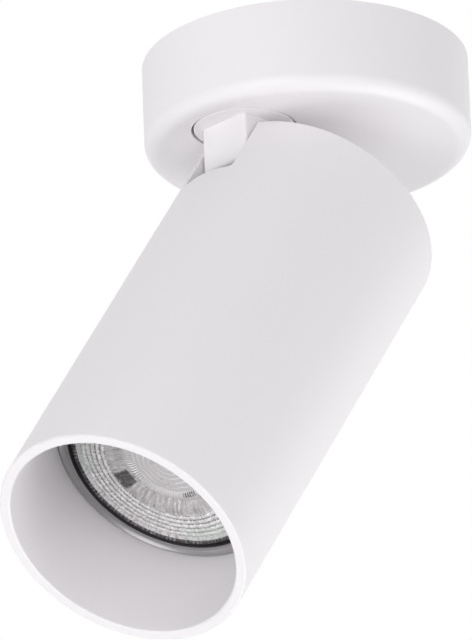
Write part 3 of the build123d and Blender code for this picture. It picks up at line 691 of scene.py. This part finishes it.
class OpticFace:
    """What the optic's finish reads at the shaded point: its zones, facets and noises.

    Its streaks are noise with so many cells round the optic and so many in a millimetre outwards.
    The sizes of the other noises are in metres.
    """

    streaks_round: float = 150.0
    streaks_outwards: float = 0.22
    patch_size: float = 0.005
    sparkle_size: float = 0.0008

    def __init__(self, bench: Bench, plan: OpticPlan) -> None:
        """Read the shaded point.

        Args:
            bench: The material's bench.
            plan: The optic's zones.
        """
        point = bench.object_point()
        radius, turn = bench.polar(point)
        self.radius, self.turn = radius, turn
        self.patch = bench.noise(point, self.patch_size, 2.0, 0.6)
        self.sparkle = bench.noise(point, self.sparkle_size, 2.0, 0.7)
        along = bench.node("ShaderNodeCombineXYZ", {}, {
            0: turn * self.streaks_round, 1: radius * self.streaks_outwards})[0]
        self.streak = bench.noise(along, 1.0, 2.0, 0.6)

        self.edge = radius.within(plan.rows_outer, 2 * plan.radius, 0.2)
        self.rows = radius.within(plan.rows_inner, plan.rows_outer, 0.2)
        self.bowl = radius.within(plan.crown_outer, plan.rows_inner, 0.3)
        self.crown = radius.within(plan.crown_inner, plan.crown_outer, 0.3)
        self.dome = radius.within(-1.0, plan.crown_inner, 0.5)

        self.line = ((plan.rows_outer - radius) / plan.row_pitch).edge_of_cell().ramp(0.5, 2.2)
        self.gap = (turn * plan.beads).edge_of_cell().ramp(0.4, 1.6)
        self.flute = self.streak.ramp(0.36, 3.2)
        self.tooth = (turn * plan.crown_beads).edge_of_cell().ramp(0.35, 1.0) * 1.6

    def sector(self, count: int, angle: float, half: float) -> Wire:
        """Return the mask of a sector that comes back a number of times in a turn.

        Args:
            count: How many times it is there.
            angle: The middle of one such sector in degrees.
            half: Half its width in degrees.

        Returns:
            The mask, with soft ends.
        """
        near = 1.0 - (self.turn * count + 0.5 - count * angle / 360.0).edge_of_cell()
        limit = 1.0 - half * count / 180.0
        return ((near - limit) * 30.0 + 0.5).clamp()


@dataclass(frozen=True)
class Optic(Finish):
    """The clear moulded optic over its bright reflector, seen as one glittering surface, with
    painted glints, painted highlights and painted dark reflections.
    """

    label: str = "optic"
    plan: OpticPlan = OpticPlan()
    bright: Colour = (0.76, 0.740, 0.750)
    valley: Colour = (0.20, 0.19, 0.195)
    bowl: Colour = (0.37, 0.355, 0.363)
    dome: Colour = (0.58, 0.565, 0.573)
    black: Colour = (0.045, 0.04, 0.042)
    # The colour of the painted glints, the painted flash on the crown and the painted highlight
    # arcs on the dome.
    painted_glint: Colour = (0.93, 0.92, 0.92)
    tinge: Colour = (0.50, 0.62, 0.54)
    painted_arc_pitch: float = 1.5

    def build(self, bench: Bench) -> None:
        """Draw the optic zone by zone, from its edge inwards, and then its marks, which include
        painted dark reflections.

        Args:
            bench: The material's bench.
        """
        face = OpticFace(bench, self.plan)
        tone = self.draw_rows(bench, face)
        tone = self.draw_bowl(bench, face, tone)
        tone = self.draw_crown(bench, face, tone)
        tone = self.draw_dome(bench, face, tone)
        tone = self.draw_marks(bench, face, tone)
        bench.surface({
            "Base Color": tone,
            "Metallic": 0.15,
            "Roughness": (0.30 + 0.2 * (face.patch - 0.5)).clamp(),
            "Coat Weight": 0.2,
            "Coat Roughness": 0.12})

    def draw_rows(self, bench: Bench, face: OpticFace) -> Wire:
        """Draw the rows of beads, with dark joints between them, and the barred edge.

        Args:
            bench: The material's bench.
            face: The shaded point.

        Returns:
            The colour.
        """
        # The joints between rows are dark, those between beads faint and their crossings darker.
        joints = face.line * 0.95 + face.gap * 0.2 + face.line * face.gap * 0.5
        weave = joints * (0.45 + 0.8 * face.patch) + 1.7 * (face.sparkle - 0.49)
        tone = bench.mix((face.rows * weave).clamp(), self.bright, self.valley)
        bars = face.streak.ramp(0.42, 4.0) * 0.6 + 1.8 * (face.sparkle - 0.5)
        return bench.mix((bars * face.edge).clamp(), tone, self.valley)

    def draw_bowl(self, bench: Bench, face: OpticFace, tone: Wire) -> Wire:
        """Draw the fluted bowl, and the painted glints (white sparks) on it and on the rows.

        Args:
            bench: The material's bench.
            face: The shaded point.
            tone: The colour so far.

        Returns:
            The colour.
        """
        ribbed = bench.mix(face.flute, bench.mix(0.5, self.bowl, self.bright), self.bowl)
        ribbed = bench.mix(face.streak.ramp(0.56, 4.0) * 0.6, ribbed, self.valley)
        tone = bench.mix(face.bowl, tone, ribbed)
        raised = (1.0 - face.line) * face.rows + 0.45 * (1.0 - face.flute) * face.bowl
        # Painted glints: white specks on the raised beads and flutes, where the sparkle noise is
        # low.
        return bench.mix(face.sparkle.ramp(0.48, -10.0) * raised, tone, self.painted_glint)

    def draw_crown(self, bench: Bench, face: OpticFace, tone: Wire) -> Wire:
        """Draw the toothed crown, with a painted highlight (flash) beside each painted dark patch.

        Args:
            bench: The material's bench.
            face: The shaded point.
            tone: The colour so far.

        Returns:
            The colour.
        """
        plan = self.plan
        painted_flash_sector = face.sector(plan.windows, plan.painted_dark_angle - plan.painted_flash_half, plan.painted_flash_half)
        # The gaps between teeth darken in patches, and more in the painted flash sector, as
        # painted shade beside the painted highlight.
        dark_and_painted_shade = (0.15 + face.tooth * (face.patch * 0.6 + painted_flash_sector * 0.5)).clamp()
        tone = bench.mix(face.crown * dark_and_painted_shade, tone, self.valley)
        # Painted highlight: the crown's teeth turn white in the painted flash sector.
        painted_flash = face.crown * painted_flash_sector * (1.0 - face.tooth * 1.6).clamp()
        return bench.mix(painted_flash, tone, self.painted_glint)

    def draw_dome(self, bench: Bench, face: OpticFace, tone: Wire) -> Wire:
        """Draw the dome with its painted highlight arcs, which break up in patches.

        Args:
            bench: The material's bench.
            face: The shaded point.
            tone: The colour so far.

        Returns:
            The colour.
        """
        # Painted highlights: bright arcs on the dome in the glint colour, at this pitch.
        painted_arcs = (face.radius / self.painted_arc_pitch + face.patch * 1.2).edge_of_cell()
        painted_arcs = painted_arcs.ramp(0.62, 1.0) * 3.0
        centre = bench.mix((painted_arcs * (face.patch * 2.4 - 0.7)).clamp(), self.dome, self.painted_glint)
        return bench.mix(face.dome * 0.9, tone, centre)

    def draw_marks(self, bench: Bench, face: OpticFace, tone: Wire) -> Wire:
        """Draw the painted dark reflections (black patches that come back round the optic), the
        dark dashes in the crown and the green tinge.

        Args:
            bench: The material's bench.
            face: The shaded point.
            tone: The colour so far.

        Returns:
            The colour.
        """
        plan, sparkle = self.plan, face.sparkle
        # Painted dark reflection: black patches on the bowl, at a fixed angle round the optic.
        painted_dark = face.sector(plan.windows, plan.painted_dark_angle, plan.painted_dark_half)
        # The painted dark patch's ends and its black are broken up by the beads' sparkle.
        frayed = face.radius + 1.6 * (sparkle - 0.5)
        painted_dark = painted_dark * frayed.within(plan.painted_dark_inner, plan.rows_inner, 0.6)
        painted_dark = painted_dark * (1.45 - 1.15 * sparkle).clamp()
        dash = (face.turn * 360.0 - plan.dash_angle).within(-plan.dash_half, plan.dash_half, 3.0)
        dash = dash * face.radius.within(plan.dash_inner, plan.dash_outer, 0.4)
        dash = dash * ((face.tooth + 2.0 * (sparkle - 0.5)) * 1.8).clamp()
        tone = bench.mix((painted_dark + dash).clamp(), tone, self.black)
        green = face.sector(plan.windows, plan.tinge_angle, plan.tinge_half)
        green = green * face.radius.within(plan.tinge_inner, plan.tinge_outer, 1.0)
        return bench.mix(green * 0.35, tone, self.tinge)


@dataclass(frozen=True)
class Phosphor(Finish):
    """The yellow face of a light source that is switched off."""

    label: str = "phosphor"
    tint: Colour = (0.83, 0.66, 0.16)
    shade: Colour = (0.70, 0.55, 0.12)
    speck_size: float = 0.0003

    def build(self, bench: Bench) -> None:
        """Draw the phosphor: soft yellow with a fine speckle.

        Args:
            bench: The material's bench.
        """
        speck = bench.noise(bench.object_point(), self.speck_size)
        bench.surface({
            "Base Color": bench.mix(speck, self.tint, self.shade),
            "Roughness": 0.35 + 0.1 * speck})


COAT = PowderCoat()
ZINC = Metal()
NICKEL = Metal(label="nickel_plate", tint=(0.66, 0.65, 0.63), roughness=0.22, grain_size=0.0002)
BRASS = Metal(label="brass", tint=(0.72, 0.52, 0.24), roughness=0.3)
TIN = Metal(label="tinned_brass", tint=(0.68, 0.66, 0.58), roughness=0.36)
SPUN = Metal(label="spun_aluminium", tint=(0.72, 0.72, 0.73), roughness=0.28, grain_size=0.0003)
NYLON = Moulding()
BLOCK = Moulding(label="block_nylon", tint=(0.83, 0.83, 0.81), mottle=(0.77, 0.77, 0.74),
                 roughness=0.38)
CERAMIC = Moulding(label="ceramic", tint=(0.82, 0.79, 0.71), mottle=(0.74, 0.70, 0.62),
                   roughness=0.6, grain_depth=0.00005)
BOARD = Moulding(label="board", tint=(0.82, 0.82, 0.80), mottle=(0.78, 0.78, 0.77), roughness=0.4)
RING = GlossRing()
RIB = DarkRib()
OPTIC = Optic()
PHOSPHOR = Phosphor()


# ---- meshes -----------------------------------------------------------------------------


@dataclass
class Shape:
    """A mesh in the making: points in millimetres, and faces as lists of point numbers."""

    points: list[Point] = field(default_factory=list)
    faces: list[list[int]] = field(default_factory=list)

    def turned(self, profile: Profile, steps: int,
               lift: Callable[[float, float], float] | None = None) -> "Shape":
        """Turn a closed profile about the Z axis.

        Args:
            profile: Radius and height of each point.
            steps: How many steps the turn has.
            lift: What is added to a height, from the radius and the share of a turn.

        Returns:
            This shape.
        """
        size = len(profile)
        for step in range(steps):
            share = step / steps
            across, along = math.cos(TURN * share), math.sin(TURN * share)
            for radius, height in profile:
                rise = lift(radius, share) if lift else 0.0
                self.points.append((radius * across, radius * along, height + rise))
        for step in range(steps):
            here, there = step * size, (step + 1) % steps * size
            for item in range(size):
                after = (item + 1) % size
                self.faces.append([here + item, there + item, there + after, here + after])
        return self

    def plate(self, radii: Sequence[float], steps: int,
              height: Callable[[float, float], float], back: float) -> "Shape":
        """Make a round plate with a modelled face and a flat back.

        Args:
            radii: The radii of the face's circles, from zero outwards.
            steps: How many steps the turn has.
            height: The face's height, from the radius and the share of a turn.
            back: The height of the back.

        Returns:
            This shape.
        """
        self.points.append((0.0, 0.0, height(0.0, 0.0)))
        for radius in radii[1:]:
            for step in range(steps):
                share = step / steps
                across, along = math.cos(TURN * share), math.sin(TURN * share)
                self.points.append((radius * across, radius * along, height(radius, share)))
        for circle in range(len(radii) - 1):
            here, before = 1 + circle * steps, 1 + (circle - 1) * steps
            for step in range(steps):
                after = (step + 1) % steps
                inner = [0] if circle == 0 else [before + after, before + step]
                self.faces.append(inner + [here + step, here + after])
        edge, base = 1 + (len(radii) - 2) * steps, len(self.points)
        self.points += [(x, y, back) for x, y, _ in self.points[edge:edge + steps]]
        self.faces += [[edge + step, base + step, base + (step + 1) % steps,
                        edge + (step + 1) % steps] for step in range(steps)]
        self.faces.append([base + step for step in range(steps)])
        return self


def arc(centre: tuple[float, float], radius: float, start: float, end: float,
        steps: int) -> list[tuple[float, float]]:
    """Return the points of a rounded corner of a profile.

    Args:
        centre: The arc's centre, as radius and height.
        radius: Its radius.
        start: The first point's angle in degrees.
        end: The last point's angle.
        steps: How many spans it has.

    Returns:
        The points.
    """
    angles = [math.radians(start + (end - start) * step / steps) for step in range(steps + 1)]
    return [(centre[0] + radius * math.cos(a), centre[1] + radius * math.sin(a)) for a in angles]


def add_piece(name: str, shape: Shape, place: Matrix, finish: Finish, body: Body,
              replaces: Sequence[str], sharp_angle: float = 40.0) -> None:
    """Make a mesh piece, dress it and let it ride.

    Args:
        name: The piece's name.
        shape: Its mesh in its own space.
        place: The place of that space in the row frame, in metres.
        finish: Its finish.
        body: The body that it rides on.
        replaces: The solids' names that it stands for.
        sharp_angle: Edges over this angle, in degrees, stay sharp.
    """
    mesh = bpy.data.meshes.new(name)
    mesh.from_pydata([Vector(point) * MM for point in shape.points], [], shape.faces)
    work = bmesh.new()
    work.from_mesh(mesh)
    bmesh.ops.recalc_face_normals(work, faces=work.faces)
    limit = math.radians(sharp_angle)
    for face in work.faces:
        face.smooth = True
    for edge in work.edges:
        edge.smooth = len(edge.link_faces) != 2 or edge.calc_face_angle(0.0) < limit
    work.to_mesh(mesh)
    work.free()
    piece = bpy.data.objects.new(name, mesh)
    piece.matrix_world = place
    bpy.context.scene.collection.objects.link(piece)
    finish.dress(piece)
    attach(piece, body.value)
    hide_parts(*replaces)
    LOG.info("%s: %d points, %d faces, on %s", name, len(mesh.vertices), len(mesh.polygons),
             body.value)


def joint_of(frame: dict[str, Any], name: str) -> dict[str, Any]:
    """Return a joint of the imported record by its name."""
    return next(j for j in frame["record"]["behaviour"]["joints"] if j["name"] == name)


# ---- sub-assemblies ---------------------------------------------------------------------


@dataclass
class SubAssembly:
    """A group of solids and the finishes that they wear."""

    frame: dict[str, Any]

    def finishes(self) -> dict[str, Finish]:
        """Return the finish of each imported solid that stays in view."""
        return {}

    def dress(self) -> None:
        """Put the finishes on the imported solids."""
        for name, finish in self.finishes().items():
            finish.dress(self.frame["nodes"][name])
            LOG.info("%s wears %s", name, finish.label)

    def build(self) -> None:
        """Make the pieces that this group adds."""


@dataclass
class CanopySet(SubAssembly):
    """The canopy and what is fixed to the ceiling inside it."""

    def finishes(self) -> dict[str, Finish]:
        """Choose the finishes of the canopy and its fixings.

        Returns:
            The finish by the solid's name.
        """
        return {
            "canopy": COAT, "canopy_screw": COAT, "ceiling_bracket": ZINC, "earth_tag": TIN,
            "earth_screw": NICKEL, "terminal_block": BLOCK, "terminal_tubes": BRASS,
            "terminal_screws": NICKEL, "block_screw": NICKEL}


@dataclass
class SwivelSet(SubAssembly):
    """The hinge post with its swivel stack, and the tilt hinge's screws, in millimetres."""

    washer_inner: float = 6.0
    washer_outer: float = 9.6
    washer_thick: float = 0.3
    washer_low: float = -15.3
    washer_room: float = 0.8
    washer_waves: int = 3
    washer_steps: int = 144

    def finishes(self) -> dict[str, Finish]:
        """Choose the finishes of the post and its stack.

        Returns:
            The finish by the solid's name.
        """
        return {
            "hinge_post": COAT, "thrust_washer": NYLON, "friction_washer": NYLON,
            "stop_washer": ZINC, "swivel_nut": NICKEL, "cable_bush": NYLON,
            "pivot_screws": NICKEL, "pivot_washers": NYLON}

    def build(self) -> None:
        """Make the wave washer under the swivel nut."""
        low, high = self.washer_low, self.washer_low + self.washer_thick
        swing = (self.washer_room - self.washer_thick) / 2
        profile = [(self.washer_inner, low), (self.washer_outer, low),
                   (self.washer_outer, high), (self.washer_inner, high)]

        def lift(_: float, share: float) -> float:
            """Return how far the wave lifts the washer."""
            return swing * (1 + math.cos(TURN * self.washer_waves * share))

        shape = Shape().turned(profile, self.washer_steps, lift)
        axis = Vector(joint_of(self.frame, "swivel_turn")["pos_m"])
        place = Matrix.Translation((axis.x, axis.y, 0.0))
        add_piece("wavy_washer", shape, place, NICKEL, Body.SWIVEL,
                  replaces=["wave_washer"])


@dataclass
class HeadSet(SubAssembly):
    """The tube, its rear cap, the lampholder on its cradle and the trim ring, in millimetres.

    The ring's cove is a row of points, each so far in from the ring's outer edge and so far down
    from its front.
    """

    place: Matrix = field(default_factory=Matrix)
    ring_front: float = 93.0
    ring_outer: float = 28.8
    ring_inner: float = 25.4
    ring_steps: int = 288
    cove: Profile = ((0.0, 0.5), (0.3, 0.1), (0.42, 0.03), (0.7, 0.2), (1.0, 0.42), (1.35, 0.62),
                     (1.7, 0.74))
    lip_outer: float = 26.5
    lip_inner: float = 25.95
    lip_rise: float = 0.25
    lip_corner: float = 0.12
    lip_round: float = 0.14
    lip_bevel: float = 0.08
    lip_fall: float = 0.2
    chamfer_drop: float = 0.9
    wall: float = 1.2
    face_thick: float = 1.6
    skirt: float = 8.0
    collar: float = 3.6

    def finishes(self) -> dict[str, Finish]:
        """Choose the finishes of the head's solids.

        Returns:
            The finish by the solid's name.
        """
        return {
            "head_tube": COAT, "rear_cap": COAT, "cap_screw": NICKEL, "lamp_cradle": ZINC,
            "cradle_screws": NICKEL, "lampholder": CERAMIC, "holder_contacts": BRASS,
            "holder_screws": NICKEL}

    def build(self) -> None:
        """Make the trim ring."""
        shape = Shape().turned(self.ring_profile(), self.ring_steps)
        add_piece("trim_ring", shape, self.place, RING, Body.HEAD,
                  replaces=["lamp_ring"], sharp_angle=50.0)

    def ring_profile(self) -> Profile:
        """Draw the ring's section: skirt, coved face, raised lip, inner chamfer and collar.

        Returns:
            The radius and height of each point.
        """
        front, outer, inner, wall = self.ring_front, self.ring_outer, self.ring_inner, self.wall
        top, back = front + self.lip_rise, front - self.face_thick
        corner, bevel = self.lip_corner, self.lip_bevel
        face = [(outer - inward, front - drop) for inward, drop in self.cove]
        face.append((self.lip_outer + corner, face[-1][1]))
        face += arc((self.lip_outer - corner, top - 2 * corner), self.lip_round, 20.0, 85.0, 3)
        face += [(self.lip_inner + bevel, top - bevel), (self.lip_inner, top - self.lip_fall),
                 (inner, front - self.chamfer_drop)]
        hidden = [(inner, front - self.collar), (inner + wall, front - self.collar),
                  (inner + wall, back), (outer - wall, back), (outer - wall, front - self.skirt)]
        return [(outer, front - self.skirt), *face, *hidden]


@dataclass
class LampSet(SubAssembly):
    """The reflector lamp with its faceted optic and dark edge band, in millimetres.

    The band's face is a row of points: how far each is in from the band's outer edge, or out from
    its inner edge, and how far down from the lamp's front.
    """

    place: Matrix = field(default_factory=Matrix)
    front: float = 93.0
    recess: float = 0.1
    seat: float = 2.6
    radius: float = 25.0
    band_inner: float = 23.8
    band_edge: Profile = ((0.0, 0.3), (0.08, 0.1), (0.25, 0.0), (0.45, 0.02))
    band_groove: Profile = ((0.5, 0.22), (0.38, 0.1), (0.1, 0.15), (0.0, 0.35))
    ribs: int = 180
    rib_rise: float = 0.03

    def finishes(self) -> dict[str, Finish]:
        """Choose the finishes of the lamp's solids.

        Returns:
            The finish by the solid's name.
        """
        return {
            "lamp_bowl": SPUN, "led_board": BOARD, "led_chips": PHOSPHOR,
            "lamp_base": CERAMIC, "lamp_pins": NICKEL}

    def build(self) -> None:
        """Make the optic and the band round it."""
        self.make_optic()
        self.make_band()

    def make_optic(self) -> None:
        """Make the optic as one finely divided surface with a rim and a back."""
        plan = OPTIC.plan
        top = self.front - self.recess
        shape = Shape().plate(plan.circles(), 6 * plan.beads,
                              lambda radius, share: top + plan.height(radius, share),
                              self.front - self.seat)
        add_piece("optic", shape, self.place, OPTIC, Body.LAMP,
                  replaces=["lamp_lens"], sharp_angle=60.0)

    def make_band(self) -> None:
        """Make the dark band: a ribbed ring with a groove beside the optic."""
        outer, inner, top, low = self.radius, self.band_inner, self.front, self.front - self.seat
        profile = [(outer, low)]
        profile += [(outer - inward, top - drop) for inward, drop in self.band_edge]
        profile += [(inner + outward, top - drop) for outward, drop in self.band_groove]
        profile.append((inner, low))

        def lift(radius: float, share: float) -> float:
            """Return the rib's height, which fades towards both edges."""
            middle = 1 - abs(2 * (radius - inner) / (outer - inner) - 1)
            return self.rib_rise * middle * math.cos(TURN * self.ribs * share)

        add_piece("edge_band", Shape().turned(profile, 4 * self.ribs, lift), self.place, RIB,
                  Body.LAMP, replaces=["lamp_bezel"], sharp_angle=60.0)


# ---- studio -----------------------------------------------------------------------------


@dataclass(frozen=True)
class PhotoCamera:
    """The photograph's camera, found from the object's outline.

    Angles are in degrees, lengths in metres and the scale in pixels per millimetre. A reference
    point on the canopy's axis falls on a known pixel of the frame.
    """

    azimuth: float = 45.1615
    elevation: float = -22.5064
    roll: float = -2.1166
    distance: float = 2.75345
    scale: float = 4.083985
    reference: tuple[float, float, float] = (0.0, 0.0, -0.012)
    reference_pixel: tuple[float, float] = (306.6707, 110.6644)
    frame_size: tuple[int, int] = (472, 640)
    sensor: float = 36.0
    clip: tuple[float, float] = (0.05, 100.0)

    def build(self) -> None:
        """Make the camera and give it to the scene."""
        a, e = math.radians(self.azimuth), math.radians(self.elevation)
        ahead = Vector((-math.sin(a) * math.cos(e), math.cos(a) * math.cos(e), -math.sin(e)))
        right = Vector((math.cos(a), math.sin(a), 0.0))
        upward = right.cross(ahead)
        tilt = math.radians(self.roll)
        right, upward = (right * math.cos(tilt) + upward * math.sin(tilt),
                         upward * math.cos(tilt) - right * math.sin(tilt))
        wide, high = self.frame_size
        metre_per_pixel = MM / self.scale
        across = (self.reference_pixel[0] - wide / 2) * metre_per_pixel
        down = (self.reference_pixel[1] - high / 2) * metre_per_pixel
        eye = Vector(self.reference) - ahead * self.distance - right * across + upward * down
        data = bpy.data.cameras.new("photo_camera")
        data.sensor_width = self.sensor
        focal_pixels = self.scale / MM * self.distance
        data.lens = focal_pixels * self.sensor / high
        data.clip_start, data.clip_end = self.clip
        camera = bpy.data.objects.new("photo_camera", data)
        turn = Matrix((right, upward, -ahead)).transposed()
        camera.matrix_world = Matrix.Translation(eye) @ turn.to_4x4()
        bpy.context.scene.collection.objects.link(camera)
        bpy.context.scene.camera = camera
        LOG.info("camera at %s, lens %.1f mm", tuple(round(v, 3) for v in eye), data.lens)


@dataclass(frozen=True)
class SoftBox:
    """A square white studio lamp that faces the object, in degrees, watts and metres."""

    name: str
    azimuth: float
    elevation: float
    power: float
    size: float = 0.9
    distance: float = 1.6

    def build(self, target: Vector) -> None:
        """Hang the lamp round a target point.

        Args:
            target: The point that it faces.
        """
        a, e = math.radians(self.azimuth), math.radians(self.elevation)
        back = Vector((math.sin(a) * math.cos(e), -math.cos(a) * math.cos(e), math.sin(e)))
        data = bpy.data.lights.new(self.name, "AREA")
        data.shape = "SQUARE"
        data.size = self.size
        data.energy = self.power
        lamp = bpy.data.objects.new(self.name, data)
        lamp.location = target + back * self.distance
        lamp.rotation_mode = "QUATERNION"
        lamp.rotation_quaternion = (-back).to_track_quat("-Z", "Y")
        bpy.context.scene.collection.objects.link(lamp)
        LOG.info("%s lights from azimuth %.0f, elevation %.0f", self.name, self.azimuth,
                 self.elevation)


@dataclass(frozen=True)
class Studio:
    """The white surroundings: world light, floor and soft boxes, in metres."""

    world_level: float = 0.56
    floor_depth: float = 6.5
    floor_size: float = 120.0
    floor_grey: float = 0.8
    floor_glow: float = 0.75
    boxes: tuple[SoftBox, ...] = (
        SoftBox("key_box", 16.0, -15.0, 6.2),
        SoftBox("low_box", 20.0, -31.0, 4.8),
        SoftBox("left_box", -40.0, -40.0, 3.8),
        SoftBox("right_box", 80.0, -12.0, 2.7),
        SoftBox("side_box", 140.0, -43.0, 5.0),
        SoftBox("rear_box", 170.0, -10.0, 1.9),
        SoftBox("under_box", 180.0, -60.0, 6.2),
    )

    def build(self, target: Vector) -> None:
        """Set up the studio round the object.

        Args:
            target: The point that the lamps face.
        """
        scene = bpy.context.scene
        scene.view_settings.view_transform = "Standard"
        self.make_world(scene)
        self.make_floor()
        for box in self.boxes:
            box.build(target)

    def make_world(self, scene: bpy.types.Scene) -> None:
        """Make a world that looks white and lights the object at its own level.

        Args:
            scene: The scene.
        """
        world = bpy.data.worlds.new("studio")
        world.use_nodes = True
        scene.world = world
        bench = Bench(world.node_tree)
        path = bench.node("ShaderNodeLightPath")
        seen = path["Is Camera Ray"] + path["Is Glossy Ray"] + path["Is Transmission Ray"]
        strength = self.world_level + (1.0 - self.world_level) * seen.clamp()
        light = bench.node("ShaderNodeBackground", {}, {
            "Color": (1, 1, 1, 1), "Strength": strength})
        bench.node("ShaderNodeOutputWorld", {}, {"Surface": light["Background"]})

    def make_floor(self) -> None:
        """Make the pale floor, far under the object, that keeps shadows."""
        half = self.floor_size / 2
        corners = [(-half, -half), (half, -half), (half, half), (-half, half)]
        mesh = bpy.data.meshes.new("floor")
        mesh.from_pydata([(x, y, -self.floor_depth) for x, y in corners], [], [[0, 1, 2, 3]])
        floor = bpy.data.objects.new("floor", mesh)
        bpy.context.scene.collection.objects.link(floor)
        made = bpy.data.materials.new("floor_white")
        made.use_nodes = True
        bench = Bench(made.node_tree)
        grey = self.floor_grey
        paint = bench.node("ShaderNodeBsdfDiffuse", {}, {"Color": (grey, grey, grey, 1.0)})
        glow = bench.node("ShaderNodeEmission", {}, {"Color": (1, 1, 1, 1), "Strength": 1.0})
        seen = bench.node("ShaderNodeLightPath")["Is Camera Ray"]
        mixed = bench.node("ShaderNodeMixShader", {}, {
            0: seen * self.floor_glow, 1: paint["BSDF"], 2: glow["Emission"]})
        bench.node("ShaderNodeOutputMaterial", {}, {"Surface": mixed["Shader"]})
        mesh.materials.append(made)
        floor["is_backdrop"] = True


@dataclass(frozen=True)
class HeadFrame:
    """The head's own frame: its origin is the tube's rear end, +Z runs to the mouth.

    The lamp's twist joint lies on its axis, so many millimetres in front of the origin.
    """

    twist_depth: float = 70.0

    def matrix(self, frame: dict[str, Any]) -> Matrix:
        """Return the place of the head's frame in the row frame, in metres.

        Args:
            frame: The loaded frame.

        Returns:
            The 4 x 4 matrix.
        """
        twist = joint_of(frame, "lamp_twist")
        along = Vector(twist["axis"]).normalized()
        across = Vector((1.0, 0.0, 0.0))
        side = along.cross(across)
        origin = Vector(twist["pos_m"]) - along * self.twist_depth * MM
        turn = Matrix((across, side, along)).transposed()
        return Matrix.Translation(origin) @ turn.to_4x4()


def main() -> None:
    """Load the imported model, dress it and set up the studio."""
    logging.basicConfig(level=logging.INFO, format="%(name)s: %(message)s")
    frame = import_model()
    PhotoCamera().build()
    head = HeadFrame().matrix(frame)
    groups = [CanopySet(frame), SwivelSet(frame), HeadSet(frame, place=head),
              LampSet(frame, place=head)]
    for group in groups:
        group.dress()
        group.build()
    low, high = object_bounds()
    Studio().build((low + high) / 2)


if __name__ == "__main__":
    main()
